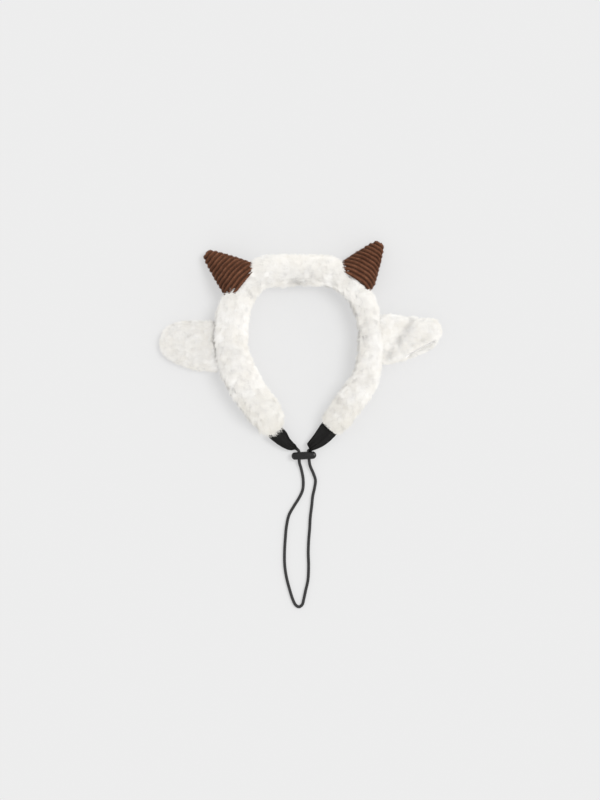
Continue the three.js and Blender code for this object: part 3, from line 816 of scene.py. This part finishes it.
def swell(piece, pressure, cap, floor):
    """Fills a closed piece like a cushion: cloth under pressure, with each point's move capped."""
    rest = points_of(piece.data)
    cloth = piece.modifiers.new("Filling", "CLOTH")
    cloth.settings.quality = 4
    cloth.settings.mass = 0.2
    cloth.settings.tension_stiffness = 12
    cloth.settings.compression_stiffness = 12
    cloth.settings.bending_stiffness = 0.6
    cloth.settings.use_pressure = True
    cloth.settings.uniform_pressure_force = pressure
    cloth.settings.effector_weights.gravity = 0
    for step in range(1, CLOTH_STEPS + 1):
        bpy.context.scene.frame_set(step)
    shape = piece.evaluated_get(bpy.context.evaluated_depsgraph_get())
    filled = points_of(shape.to_mesh())
    shape.to_mesh_clear()
    piece.modifiers.clear()
    bpy.context.scene.frame_set(1)
    move = filled - rest
    length = np.linalg.norm(move, axis=1, keepdims=True)
    rest = rest + move * np.minimum(1, cap / np.maximum(length, 1e-9))
    rest[:, 2] = np.maximum(rest[:, 2], floor)
    set_points(piece.data, rest)


def lumpy(points, normals, rise):
    """Uneven filling: large soft lumps, with smaller ones half as high between them."""
    large = [noise_at.noise(Vector(place) / LARGE_LUMPS) for place in points]
    small = [noise_at.noise(Vector(place) / SMALL_LUMPS) for place in points]
    raised = np.array(large) + 0.5 * np.array(small)
    moved = points + normals * (raised * rise)[:, None]
    moved[:, 2] = np.maximum(moved[:, 2], PLUSH_FLOOR)
    return moved


def padded_copy(node, name, material, voxel, inset, cap, lumps):
    """A padded skin inside a CAD solid: remeshed, drawn in, filled and smoothed once."""
    piece = bpy.data.objects.new(name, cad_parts[node].data.copy())
    bpy.context.collection.objects.link(piece)
    remesh = piece.modifiers.new("Even skin", "REMESH")
    remesh.mode = "VOXEL"
    remesh.voxel_size = voxel
    bake_modifiers(piece)
    drawn_in = points_of(piece.data) - normals_of(piece.data) * inset
    set_points(piece.data, drawn_in)
    swell(piece, PLUSH_PRESSURE, cap, PLUSH_FLOOR)
    set_points(piece.data, lumpy(points_of(piece.data), normals_of(piece.data), lumps))
    finer = piece.modifiers.new("Finer", "SUBSURF")
    finer.levels = 1
    bake_modifiers(piece)
    piece.data.materials.clear()
    piece.data.materials.append(material)
    piece.data.polygons.foreach_set("use_smooth", np.ones(len(piece.data.polygons), dtype=bool))
    return piece


def triangles_of(mesh):
    mesh.calc_loop_triangles()
    corners = np.empty(len(mesh.loop_triangles) * 3, dtype=np.int32)
    mesh.loop_triangles.foreach_get("vertices", corners)
    return corners.reshape(-1, 3)


def tree_of(objects):
    """One search tree over several objects at the origin."""
    points, faces, start = [], [], 0
    for piece in objects:
        mesh = piece.data
        points.append(points_of(mesh))
        faces.append(triangles_of(mesh) + start)
        start += len(mesh.vertices)
    return BVHTree.FromPolygons(np.concatenate(points).tolist(), np.concatenate(faces).tolist())


def point_tree(places):
    """A search tree that gives the number of the nearest of several places."""
    tree = KDTree(len(places))
    for i, place in enumerate(places):
        tree.insert(place, i)
    tree.balance()
    return tree


def scatter(skin, count, rng, favoured=None):
    """Random roots over a skin with its smooth normals, even by area or denser where it is favoured."""
    points, normals, faces = points_of(skin.data), normals_of(skin.data), triangles_of(skin.data)
    sides = np.cross(points[faces[:, 1]] - points[faces[:, 0]], points[faces[:, 2]] - points[faces[:, 0]])
    weights = np.linalg.norm(sides, axis=1)
    if favoured is not None:
        weights = weights * favoured[faces].mean(1) ** FIBRE_CREST_POWER
    pick = rng.choice(len(faces), count, p=weights / weights.sum())
    first, second = rng.random(count) ** 0.5, rng.random(count)
    shares = np.stack([1 - first, first * (1 - second), first * second], -1)[:, :, None]
    return (points[faces[pick]] * shares).sum(1), unit((normals[faces[pick]] * shares).sum(1))


def spread_out(places, spacing):
    """Keeps the places that are no nearer each other than spacing."""
    kept = np.empty((0, 3))
    for place in places:
        if len(kept) == 0 or ((kept - place) ** 2).sum(1).min() > spacing**2:
            kept = np.vstack([kept, place])
    return kept


def clear_of(places, normals, tree, gap):
    """Which roots have no neighbour of the tree within gap above them."""
    keep = np.ones(len(places), dtype=bool)
    for i, (place, normal) in enumerate(zip(places, normals)):
        near = tree.find_nearest(Vector(place + normal * gap * 0.5), gap)
        keep[i] = near[0] is None
    return keep


def turned_to(faces, points, seen):
    """Turns over the faces whose front is away from the side that they are seen from."""
    first = points[faces[:, 1]] - points[faces[:, 0]]
    second = points[faces[:, 2]] - points[faces[:, 0]]
    away = (np.cross(first, second) * seen).sum(1) < 0
    return np.where(away[:, None], faces[:, ::-1], faces)


def blades(name, normals, middles, widths, material, shades, tilts):
    """Joins thin tapered blades into one piece. middles holds each blade's points from root to tip.

    They are shaded as one soft pile: their normals turn upward, except on the piece's underside.
    """
    count, steps = middles.shape[0], middles.shape[1]
    run = unit(np.gradient(middles, axis=1))
    softened = np.where(normals[:, 2:] > BLADE_UNDERSIDE, BLADE_SOFTENING, 0.0) * UP
    shaded = unit(normals + tilts + softened)
    side = unit(np.cross(run, shaded[:, None, :]))
    half = widths[:, None, None] * 0.5 * np.array(BLADE_TAPERS[steps])[None, :, None]
    body = middles[:, :-1]
    left = body - side[:, :-1] * half
    right = body + side[:, :-1] * half
    per = 2 * (steps - 1) + 1
    points = np.empty((count, per, 3))
    points[:, 0:-1:2] = left
    points[:, 1:-1:2] = right
    points[:, -1] = middles[:, -1]
    points[:, :, 2] = np.maximum(points[:, :, 2], BLADE_FLOOR)
    base = np.arange(count)[:, None] * per
    corners = [np.array([0, 1, 3, 2]) + 2 * k for k in range(steps - 2)]
    quads = np.stack([base + four for four in corners], axis=1).reshape(-1, 4)
    tips = base + np.array([per - 3, per - 2, per - 1])
    seen = np.where(shaded[:, 2:] > 0, UP, shaded)
    quads = turned_to(quads, points.reshape(-1, 3), np.repeat(seen, steps - 2, axis=0))
    tips = turned_to(tips, points.reshape(-1, 3), seen)
    piece = mesh_object(name, points.reshape(-1, 3), [quads, tips], material)
    along = np.concatenate([np.repeat(np.linspace(0, 1, steps)[:-1], 2), [1.0]])
    set_attribute(piece, "along", np.tile(along, count))
    set_attribute(piece, "shade", np.repeat(shades, per))
    lay_out_strips(piece, count, per, steps)
    # Real pile lets light through to its roots. Blades would hold it back, so they cast no shadow.
    piece.visible_shadow = False
    piece.data.normals_split_custom_set_from_vertices(np.repeat(shaded, per, axis=0).tolist())
    return piece


def lay_out_strips(piece, count, per, steps):
    """Gives each blade its own small cell of the texture map, root at its foot and tip at its top."""
    cells = math.ceil(math.sqrt(count))
    cell = np.arange(count)
    corner = np.stack([cell % cells, cell // cells], -1) / cells
    foot, head = 0.1, 0.9
    near, far = 0.15, 0.85
    up = np.concatenate([np.repeat(np.linspace(foot, head, steps)[:-1], 2), [head]])
    over = np.concatenate([np.tile([near, far], steps - 1), [0.5]])
    inside = np.stack([over, up], -1) / cells
    places = (corner[:, None, :] + inside[None]).reshape(-1, 2)
    layer = piece.data.uv_layers.new(name="OFBake")
    corners = np.empty(len(piece.data.loops), dtype=np.int32)
    piece.data.loops.foreach_get("vertex_index", corners)
    layer.data.foreach_set("uv", places[corners].astype(np.float32).reshape(-1))


def pile_strands(roots, normals, brushed, length, pitch, rng):
    """Curly strands gathered into tufts. Returns each one's middles, and its tuft's shade and tilt."""
    tried = int(6 * len(roots) ** 0.72) + 50
    order = rng.permutation(len(roots))[:tried]
    centres = spread_out(roots[order], pitch * TUFT_PACKING)
    tree = point_tree(centres)
    tuft = np.array([tree.find(place)[1] for place in roots])
    count = len(centres)
    tall = rng.uniform(*TUFT_HEIGHTS, count)[tuft][:, None]
    stray = (rng.random((len(roots), 1)) < STRAY_SHARE) * 1.0
    turn = rng.normal(0, TUFT_TURN_SPREAD, count)[tuft][:, None]
    lean = rng.uniform(*TUFT_LEANS, count)[tuft][:, None]
    shade = np.clip(rng.normal(TUFT_SHADE, TUFT_SHADE_SPREAD, count), 0, 1)[tuft]
    flat = unit(brushed - normals * (brushed * normals).sum(1, keepdims=True))
    cross = np.cross(normals, flat)
    way = flat * np.cos(turn) + cross * np.sin(turn)
    side = np.cross(normals, way)
    # The hoop and the ears lie on the floor, so the pile is pressed short below them.
    pressed = np.clip(1 + normals[:, 2:] * 0.6, 0.5, 1)
    own = rng.uniform(*STRAND_LENGTHS, (len(roots), 1))
    reach = length * tall * pressed * own * (1 + STRAY_EXTRA_LENGTH * stray)
    inward = centres[tuft] - roots
    inward -= normals * (inward * normals).sum(1, keepdims=True)
    curl = rng.normal(0, STRAND_CURL_SPREAD, (len(roots), 1))
    curl = curl + rng.normal(0, TUFT_CURL_SPREAD, count)[tuft][:, None]
    phase = rng.uniform(0, 2 * math.pi, count)[tuft][:, None]
    middles = []
    for t in STRAND_STATIONS:
        rise = (0.5 * math.sin(t * math.pi / 2) - 0.05) * (1.2 - 0.5 * lean)
        height = reach * rise * (1 + STRAY_EXTRA_HEIGHT * stray)
        forward = reach * 0.9 * lean * t**STRAND_BEND
        wave = reach * (STRAND_WAVE * np.sin(phase + STRAND_WAVE_TURN * t) * t + curl * t * t)
        drawn = inward * STRAND_INWARD * t**STRAND_BEND
        middles.append(roots + normals * height + way * forward + side * wave + drawn)
    tilts = way * TUFT_TILT + rng.normal(0, TUFT_TILT_SPREAD, (count, 3))[tuft]
    return np.stack(middles, axis=1), shade, tilts


def declare(piece, slot, *nodes):
    """Says what a piece rides on and the solids that it takes the place of. Its slot is not used."""
    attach(piece, "root")
    if nodes:
        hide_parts(*nodes)


# Stage


def make_stage(settings):
    floor = mesh_object(
        "floor",
        FLOOR_REACH * np.array([[-1, -1, 0], [1, -1, 0], [1, 1, 0], [-1, 1, 0]], dtype=float),
        [np.array([[0, 1, 2, 3]])],
        floor_material(settings.floor_colour, settings.floor_glow),
    )
    camera = bpy.data.cameras.new("camera")
    camera.sensor_fit = "VERTICAL"
    camera.sensor_height = SENSOR
    camera.sensor_width = SENSOR
    camera.lens = SENSOR * settings.camera_height / (IMAGE_HEIGHT * PIXEL)
    camera.clip_start = 0.05
    camera.clip_end = 20
    stand = bpy.data.objects.new("camera", camera)
    stand.location = IMAGE_MIDDLE + Vector((0, 0, settings.camera_height))
    bpy.context.collection.objects.link(stand)
    bpy.context.scene.camera = stand
    sky = bpy.data.worlds.new("studio")
    sky.use_nodes = True
    sky.node_tree.nodes["Background"].inputs["Color"].default_value = (1, 1, 1, 1)
    sky.node_tree.nodes["Background"].inputs["Strength"].default_value = settings.sky
    bpy.context.scene.world = sky
    lamp = bpy.data.lights.new("softbox", "SUN")
    lamp.energy = settings.sun
    lamp.angle = settings.sun_spread
    box = bpy.data.objects.new("softbox", lamp)
    box.rotation_mode = "QUATERNION"
    box.rotation_quaternion = TO_SOFTBOX.to_track_quat("Z", "Y")
    bpy.context.collection.objects.link(box)
    bpy.context.scene.view_settings.view_transform = "Standard"


# Chin strap


def in_lock(x, y, z):
    """A place that is counted from the lock's middle, in the lock's own directions."""
    return Matrix.Rotation(LOCK_TURN, 3, "Z") @ Vector((x, y, z)) + LOCK_MIDDLE


def cord_points():
    """The cord's route: from the left tab through the lock, round the loop, and back to the right tab."""
    flat_middle = Vector((LOCK_MIDDLE.x, LOCK_MIDDLE.y, 0))
    left = [in_lock(-HOLE_SPACING / 2, y, 0) for y in (HOLE_REACH, 0, -HOLE_REACH)]
    right = [in_lock(HOLE_SPACING / 2, y, 0) for y in (-HOLE_REACH, 0, HOLE_REACH)]
    loop = [flat_middle + Vector(row) for row in CORD_LOOP]
    return [*map(Vector, CORD_FROM_LEFT_TAB), *left, *loop, *right, *map(Vector, CORD_TO_RIGHT_TAB)]


def make_cord(settings, lock):
    """The elastic cord: a braided tube along its whole route, with eight yarns each way."""
    rings, sides = 1150, 16
    route, length = smooth_route(cord_points(), rings)
    run = unit(np.gradient(route, axis=0))
    flat = unit(np.cross(UP, run))
    top = np.cross(run, flat)
    turn = np.linspace(0, 2 * math.pi, sides, endpoint=False)[None, :]
    along = np.linspace(0, length, rings)[:, None]
    over = np.abs(np.sin(2 * turn + 2 * math.pi * along / BRAID_PITCH * 2))
    under = np.abs(np.sin(2 * turn - 2 * math.pi * along / BRAID_PITCH * 2))
    crest = np.maximum(over, under) ** 0.7
    radius = settings.cord_diameter / 2 * (BRAID_LOW + BRAID_RISE * crest)
    points = tube_points(route, flat, top, radius, radius, turn)
    material = elastic_material(settings.cord_colour)
    cord = mesh_object("chin_cord_braid", points, closed_tube_faces(rings, sides), material)
    set_attribute(cord, "crest", np.concatenate([crest.reshape(-1), [0, 0]]))
    declare(cord, "elastic", "chin_cord")


def make_lock(settings):
    """The moulded lock: a bar with round ends and edges, a parting line and two through holes."""
    sides, rows = 72, 14
    length, width, height = LOCK_SIZE
    turn = np.linspace(0, 2 * math.pi, sides, endpoint=False)
    straight = length / 2 - width / 2
    rise = np.linspace(-math.pi / 2, math.pi / 2, rows)
    points = []
    for angle in rise:
        inset = LOCK_EDGE * (1 - math.cos(angle))
        level = math.copysign(height / 2 - LOCK_EDGE, angle) + LOCK_EDGE * math.sin(angle)
        level += LOCK_CROWN * math.copysign(1, angle) * (1 - abs(math.cos(angle)))
        round_end = width / 2 - inset
        line = np.clip(np.cos(turn) * 3, -1, 1) * straight + round_end * np.cos(turn)
        points.append(np.stack([line, round_end * np.sin(turn), np.full(sides, level)], -1))
    crown = height / 2 + LOCK_CROWN
    points = np.vstack([*points, [0, 0, -crown], [0, 0, crown]])
    material = lock_material(settings.lock_colour)
    lock = mesh_object("cord_lock_body", points, closed_tube_faces(rows, sides), material)
    lock.data.transform(Matrix.Translation(LOCK_MIDDLE) @ Matrix.Rotation(LOCK_TURN, 4, "Z"))
    drills = []
    for aside in (-HOLE_SPACING / 2, HOLE_SPACING / 2):
        drill = bpy.data.meshes.new("drill")
        shape = bmesh.new()
        bmesh.ops.create_cone(
            shape,
            cap_ends=True,
            segments=32,
            radius1=HOLE_RADIUS,
            radius2=HOLE_RADIUS,
            depth=DRILL_LENGTH,
        )
        turned = Matrix.Rotation(LOCK_TURN, 4, "Z") @ Matrix.Rotation(math.pi / 2, 4, "X")
        shape.transform(Matrix.Translation(in_lock(aside, 0, 0)) @ turned)
        shape.to_mesh(drill)
        shape.free()
        tool = bpy.data.objects.new("drill", drill)
        bpy.context.collection.objects.link(tool)
        cut = lock.modifiers.new("Hole", "BOOLEAN")
        cut.object = tool
        cut.operation = "DIFFERENCE"
        cut.solver = "EXACT"
        drills.append(tool)
    edge = lock.modifiers.new("Moulded edge", "BEVEL")
    edge.width = LOCK_BEVEL
    edge.segments = 2
    edge.limit_method = "ANGLE"
    edge.angle_limit = math.radians(40)
    bake_modifiers(lock)
    for tool in drills:
        bpy.data.objects.remove(tool)
    declare(lock, "lock_plastic", "cord_lock")
    return lock


def make_ribbon(name, tab, settings):
    """One ribbon tab: a strip folded double round the cord, with its gathers deepest at the tip."""
    columns, half_rows = 33, 40
    way = tab["tip"] - tab["end"]
    side = Vector((0, 0, 1)).cross(way).normalized()
    toward = np.linspace(tab["toward"][0], tab["toward"][-1], half_rows)
    sizes = [np.interp(toward, tab["toward"], tab[key]) * MM for key in ("low", "high", "lift")]
    low, high, lift = sizes
    spread = np.linspace(-0.5, 0.5, columns)
    rows = []
    for layer in (1, -1):
        for i in range(half_rows):
            gather = (i / (half_rows - 1)) ** 1.5
            gap = RIBBON_GAP + RIBBON_GATHER_GAP * gather
            aside = low[i] + (high[i] - low[i]) * (spread + 0.5)
            middle = np.array(tab["end"] + way * toward[i])
            place = middle[None, :] + np.array(side)[None, :] * aside[:, None]
            waves = np.cos(2 * math.pi * (1.5 * spread + tab["fold"])) * (0.35 + 0.5 * gather)
            waves += 0.4 * gather * np.cos(2 * math.pi * (4.0 * spread + 0.2))
            rim = 1 - 0.8 * gather * (2 * spread) ** 4
            place[:, 2] = lift[i] + layer * gap * rim + RIBBON_WAVE * waves * rim
            rows.append(place)
    top_rows = rows[:half_rows]
    low_rows = rows[half_rows:][::-1]
    fold_rows = []
    heading = np.array(way.normalized())
    for angle in np.linspace(0, math.pi, 7)[1:-1]:
        middle = (top_rows[-1] + low_rows[0]) / 2
        reach = (top_rows[-1] - low_rows[0]) / 2
        bulge = np.abs(reach[:, 2:3])
        fold_rows.append(middle + reach * math.cos(angle) + heading * bulge * math.sin(angle))
    strip = np.array(top_rows + fold_rows + low_rows)
    strip[:, :, 2] = np.maximum(strip[:, :, 2], RIBBON_FLOOR)
    rows_total = len(strip)
    material = ribbon_material(settings.ribbon_colour)
    faces = [grid_faces(rows_total, columns)]
    ribbon = mesh_object(name + "_cloth", strip.reshape(-1, 3), faces, material)
    step = np.linalg.norm(np.diff(strip[:, columns // 2], axis=0), axis=1)
    along = np.concatenate(([0], np.cumsum(step)))
    set_attribute(ribbon, "metres_along", np.repeat(along, columns))
    set_attribute(ribbon, "metres_across", np.tile(spread * settings.ribbon_width, rows_total))
    thick = ribbon.modifiers.new("Thickness", "SOLIDIFY")
    thick.thickness = RIBBON_THICKNESS
    thick.offset = 0
    bake_modifiers(ribbon)
    declare(ribbon, "ribbon", name)


# Plush and corduroy


def route_places():
    """Places along the hoop on the floor, from its left end over the crown to its right end."""
    turns = np.radians(HOOP_TURNS)
    reaches = np.array(HOOP_REACHES) * MM
    places = np.stack([reaches * np.cos(turns), reaches * np.sin(turns), np.full(len(turns), 0.0)], -1)
    return smooth_route(places + np.array(HOOP_CENTRE), HOOP_ROUTE_STEPS)[0]


def brushed_along_hoop(roots):
    """The way the hoop's pile is brushed, from its crown down to each end, and each root's share."""
    route = route_places()
    run = unit(np.gradient(route, axis=0))
    tree = point_tree(route)
    nearest = np.array([tree.find((p[0], p[1], 0))[1] for p in roots])
    share = nearest / (len(route) - 1)
    away = np.clip((share - 0.5) / PARTING_SHARE, -1, 1)[:, None]
    outward = unit(route[nearest] - np.array(HOOP_CENTRE))
    return unit(run[nearest] * away + outward * (PARTING_OUTWARD - np.abs(away))), share


def over_right_tab(tips):
    """Which strands would lie over the right ribbon tab, whose sewn edge stays clear."""
    tab = TABS["ribbon_right"]
    way = np.array((tab["tip"] - tab["end"]).normalized())
    rel = tips - np.array(tab["end"])
    along = rel @ way
    aside = rel[:, 1] * way[0] - rel[:, 0] * way[1]
    return (along > -TAB_CLEAR_BEFORE) & (np.abs(aside) < TAB_CLEAR_ASIDE)


def make_hoop(settings):
    """The stuffed hoop: its padded skin, and its pile in three pieces along it."""
    skin = padded_copy("band", "hoop_skin", plush_backing_material(settings.colour), **HOOP_SKIN)
    declare(skin, "plush", "band")
    rng = np.random.default_rng(HOOP_SEED)
    roots, normals = scatter(skin, int(settings.hoop_strands * HOOP_SCATTER), rng)
    others = ("horn_left", "horn_right", "ribbon_left", "ribbon_right")
    keep = clear_of(roots, normals, tree_of([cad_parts[n] for n in others]), HOOP_CLEARANCE)
    roots, normals = roots[keep], normals[keep]
    brushed, share = brushed_along_hoop(roots)
    near_left = np.clip(1 - share / LONG_PILE_SHARE, 0, 1)
    lengths = settings.pile_length * (1 + LONG_PILE_EXTRA * near_left[:, None])
    middles, shade, tilts = pile_strands(roots, normals, brushed, lengths, settings.lock_pitch, rng)
    # Painted shade: the pile is painted darker toward both ends of the hoop.
    near_end = np.clip(1 - np.minimum(share, 1 - share) / SHADED_END_SHARE, 0, 1)
    shade = shade - SHADED_END_DEPTH * near_end
    keep = ~over_right_tab(middles[:, -1])
    normals, share = normals[keep], share[keep]
    middles, shade, tilts = middles[keep], shade[keep], tilts[keep]
    width = rng.uniform(*HOOP_STRAND_WIDTHS, len(normals)) * MM
    material = plush_pile_material(settings.colour)
    order = np.argsort(share, kind="stable")
    for part, name in zip(np.array_split(order, 3), ("left", "crown", "right")):
        part = rng.permutation(part)[: settings.hoop_strands]
        strands = (normals[part], middles[part], width[part], material, shade[part], tilts[part])
        declare(blades("hoop_pile_" + name, *strands), "plush")


def draw_under(skin, ear):
    """Draws the root of an ear in under the hoop's pile and up to it, where it is sewn."""
    points = points_of(skin.data)
    outward = ear["out"] * points[:, 0]
    from_root = np.clip((outward - outward.min()) / EAR_ROOT, 0, 1)
    points[:, 0] -= ear["out"] * EAR_TUCK * (1 - from_root) ** 2
    points[:, 2] += EAR_RAISE * (1 - from_root) ** 2 * np.clip(points[:, 2] / EAR_RAISE_FULL, 0, 1)
    set_points(skin.data, points)


def from_line(points, line):
    """How far points lie from a line of places on the floor, seen from above."""
    line = np.array(line) * MM
    starts, ways = line[:-1], np.diff(line, axis=0)
    rel = points[:, None, :2] - starts[None]
    share = np.clip((rel * ways).sum(-1) / (ways**2).sum(-1), 0, 1)
    return np.linalg.norm(rel - share[..., None] * ways, axis=-1).min(1)


def ridge(places, form):
    """Height of a soft ridge, or of a groove where it is negative, given as (height, middle, width)."""
    height, middle, width = form
    return height * np.exp(-(((places - middle) / width) ** 2))


def fold_over(skin):
    """Folds the right ear: a valley across it, and its front layer lying over its back one."""
    points = points_of(skin.data)
    high = np.clip((points[:, 2] - TOP_START) / TOP_FADE, 0, 1)
    points[:, 2] -= high * ridge(from_line(points, EAR_VALLEY), (VALLEY_DEPTH, 0, VALLEY_WIDTH))
    behind, along = behind_fold(points)
    ends = np.clip(along / FOLD_FADE_IN, 0, 1) * np.clip((FOLD_END - along) / FOLD_FADE_OUT, 0, 1)
    points[:, 2] -= BACK_LAYER_DROP * high * ends * np.clip(behind / BACK_LAYER_WIDTH, 0, 1)
    points[:, 2] += high * ends * ridge(behind, FOLD_SLOT)
    points[:, 2] += high * ends * ridge(behind, FOLD_SWELL) * (behind < 0)
    set_points(skin.data, points)


def behind_fold(points):
    """How far points lie behind the fold's edge, negative on the front layer, and their share of it."""
    start, end = (np.array(place) * MM for place in EAR_FOLD)
    way = (end - start) / np.linalg.norm(end - start)
    rel = points[:, :2] - start
    return rel[:, 0] * way[1] - rel[:, 1] * way[0], (rel @ way) / np.linalg.norm(end - start)


def make_ear(name, ear, settings):
    """One ear: its padded skin, folded where it is the right one, and its pile."""
    # Painted shade: the ear's plush is painted a little darker than the hoop's.
    colour = toned(settings.colour, ear["shaded_tone"])[:3]
    skin = padded_copy(name, name + "_skin", plush_backing_material(colour), **EAR_SKIN)
    draw_under(skin, ear)
    folded = ear["out"] > 0
    if folded:
        fold_over(skin)
    declare(skin, "plush", name)
    rng = np.random.default_rng(ear["seed"])
    roots, normals = scatter(skin, settings.ear_strands, rng)
    lengths = np.full((len(roots), 1), settings.ear_pile_length)
    if folded:
        behind, along = behind_fold(roots)
        inside = (along > FOLD_PILE_FROM) & (along < FOLD_PILE_TO)
        trim = 1 - inside * ridge(behind, (FOLD_TRIM, 0, FOLD_TRIM_WIDTH))
        lengths *= trim[:, None]
        keep = ~(inside & (np.abs(behind - FOLD_BARE_MIDDLE) < FOLD_BARE_REACH))
        roots, normals, lengths = roots[keep], normals[keep], lengths[keep]
    brushed = np.tile(np.array(ear["brushed"].normalized()), (len(roots), 1))
    pitch = settings.lock_pitch * EAR_TUFT_SIZE
    middles, shade, tilts = pile_strands(roots, normals, brushed, lengths, pitch, rng)
    width = rng.uniform(*EAR_STRAND_WIDTHS, len(roots)) * MM
    material = plush_pile_material(colour)
    declare(blades(name + "_pile", normals, middles, width, material, shade, tilts), "plush")


def make_horn(name, horn, settings):
    """A stuffed cone of corduroy. Its wales ring it, and their pile stands up in short fibres."""
    sides, rings = 110, 150
    base, tip = horn["base"], horn["tip"]
    axis = (tip - base).normalized()
    side = Vector((0, 0, 1)).cross(tip - base).normalized()
    top = axis.cross(side)
    reach = (tip - base).length
    from_seat = np.linspace(0, reach + HORN_SEAT, rings)
    girth = np.interp((from_seat - HORN_SEAT) / reach, HORN_ALONG, HORN_GIRTH)[:, None]
    turn = np.linspace(0, 2 * math.pi, sides, endpoint=False)[None, :]
    wide, deep = horn["width"] / 2 * girth, HORN_DEPTH / 2 * girth
    middle = np.array(base)[None, :] + np.array(axis)[None, :] * (from_seat - HORN_SEAT)[:, None]
    points = tube_points(middle, side, top, wide, deep, turn)
    material = corduroy_material(settings.colour)
    skin = mesh_object(name + "_skin", points, closed_tube_faces(rings, sides), material)
    swell(skin, HORN_PRESSURE, HORN_CAP, HORN_SKIN_FLOOR)
    rng = np.random.default_rng(horn["seed"])
    # The wales are straight on the flat cloth. Rolled into a cone they bow toward its tip.
    sector = math.pi * (horn["width"] + HORN_DEPTH) / 2 / math.hypot(reach, horn["width"] / 2)
    rolled = (turn - math.pi / 2 + math.pi) % (2 * math.pi) - math.pi
    wobble = sum(size * np.sin(turn * waves + rng.uniform(0, 6)) for waves, size in WALE_WOBBLES)
    from_tip = (reach + HORN_SEAT - from_seat)[:, None]
    over_cloth = from_tip * np.cos(rolled * HORN_BOW * sector / (2 * math.pi) - horn["grain"])
    wave = np.abs(np.sin(math.pi * (over_cloth / settings.wale_pitch + wobble * WALE_WOBBLE_SHARE)))
    wave = np.concatenate([wave.reshape(-1), [0, 0.5]])
    crest = wave**WALE_ROUNDNESS
    lifted = points_of(skin.data) + normals_of(skin.data) * (settings.wale_rise * (crest - 0.5))[:, None]
    lifted[:, 2] = np.maximum(lifted[:, 2], HORN_FLOOR)
    set_points(skin.data, lifted)
    set_attribute(skin, "crest", wave)
    declare(skin, "corduroy", name)
    make_horn_pile(name, skin, crest, axis, rng, settings)


def make_horn_pile(name, skin, crest, axis, rng, settings):
    """The cut pile of a horn's wales: short fibres that keep to the crests and lean toward the tip."""
    roots, upward = scatter(skin, FIBRES, rng, crest)
    leaning = rng.normal(0, FIBRE_SCATTER, (FIBRES, 3)) + np.array(axis) * FIBRE_LEAN
    length = rng.uniform(*FIBRE_LENGTHS, (FIBRES, 1)) * MM
    stations = (-0.1, 0.5, 1.0)
    shapes = [roots + (upward * t + leaning * t * t * FIBRE_CURL) * length for t in stations]
    width = rng.uniform(*FIBRE_WIDTHS, FIBRES) * MM
    material = corduroy_pile_material(settings.colour)
    fibres = (upward, np.stack(shapes, axis=1), width, material, rng.random(FIBRES), leaning * 0.5)
    declare(blades(name + "_pile", *fibres), "corduroy")


# Operators


class HEADBAND_OT_stage(Operator):
    """Lays the floor, the lights and the camera"""

    bl_idname = "headband.stage"
    bl_label = "Stage"

    def execute(self, context):
        make_stage(context.scene.headband_stage)
        return {"FINISHED"}


class HEADBAND_OT_chin_cord(Operator):
    """Makes the elastic chin cord and its lock"""

    bl_idname = "headband.chin_cord"
    bl_label = "Chin cord and lock"

    def execute(self, context):
        settings = context.scene.headband_strap
        make_cord(settings, make_lock(settings))
        return {"FINISHED"}


class HEADBAND_OT_ribbon_tabs(Operator):
    """Makes the two ribbon tabs that hold the cord"""

    bl_idname = "headband.ribbon_tabs"
    bl_label = "Ribbon tabs"

    def execute(self, context):
        for name, tab in TABS.items():
            make_ribbon(name, tab, context.scene.headband_strap)
        return {"FINISHED"}


class HEADBAND_OT_hoop(Operator):
    """Makes the stuffed plush hoop with its pile"""

    bl_idname = "headband.hoop"
    bl_label = "Plush hoop"

    def execute(self, context):
        make_hoop(context.scene.headband_plush)
        return {"FINISHED"}


class HEADBAND_OT_ears(Operator):
    """Makes the two plush ears"""

    bl_idname = "headband.ears"
    bl_label = "Ears"

    def execute(self, context):
        for name, ear in EARS.items():
            make_ear(name, ear, context.scene.headband_plush)
        return {"FINISHED"}


class HEADBAND_OT_horns(Operator):
    """Makes the two corduroy horns"""

    bl_idname = "headband.horns"
    bl_label = "Horns"

    def execute(self, context):
        for name, horn in HORNS.items():
            make_horn(name, horn, context.scene.headband_horn)
        return {"FINISHED"}


class HEADBAND_PT_sidebar(Panel):
    bl_label = "Horned headband"
    bl_idname = "HEADBAND_PT_sidebar"
    bl_space_type = "VIEW_3D"
    bl_region_type = "UI"
    bl_category = "Headband"

    def draw(self, context):
        for operator in OPERATORS:
            self.layout.operator(operator.bl_idname)
        for group in SETTINGS:
            box = self.layout.box()
            for key in SETTINGS[group].__annotations__:
                box.prop(getattr(context.scene, group), key)


SETTINGS = {
    "headband_stage": StageSettings,
    "headband_plush": PlushSettings,
    "headband_horn": HornSettings,
    "headband_strap": StrapSettings,
}
OPERATORS = [
    HEADBAND_OT_stage,
    HEADBAND_OT_chin_cord,
    HEADBAND_OT_ribbon_tabs,
    HEADBAND_OT_hoop,
    HEADBAND_OT_ears,
    HEADBAND_OT_horns,
]


def register():
    for group in SETTINGS.values():
        bpy.utils.register_class(group)
    for operator in OPERATORS:
        bpy.utils.register_class(operator)
    bpy.utils.register_class(HEADBAND_PT_sidebar)
    for name, group in SETTINGS.items():
        setattr(bpy.types.Scene, name, PointerProperty(type=group))


def unregister():
    for name in SETTINGS:
        delattr(bpy.types.Scene, name)
    bpy.utils.unregister_class(HEADBAND_PT_sidebar)
    for operator in reversed(OPERATORS):
        bpy.utils.unregister_class(operator)
    for group in reversed(list(SETTINGS.values())):
        bpy.utils.unregister_class(group)


def main():
    register()
    bpy.ops.headband.stage()
    bpy.ops.headband.chin_cord()
    bpy.ops.headband.ribbon_tabs()
    bpy.ops.headband.hoop()
    bpy.ops.headband.ears()
    bpy.ops.headband.horns()


if __name__ == "__main__":
    main()
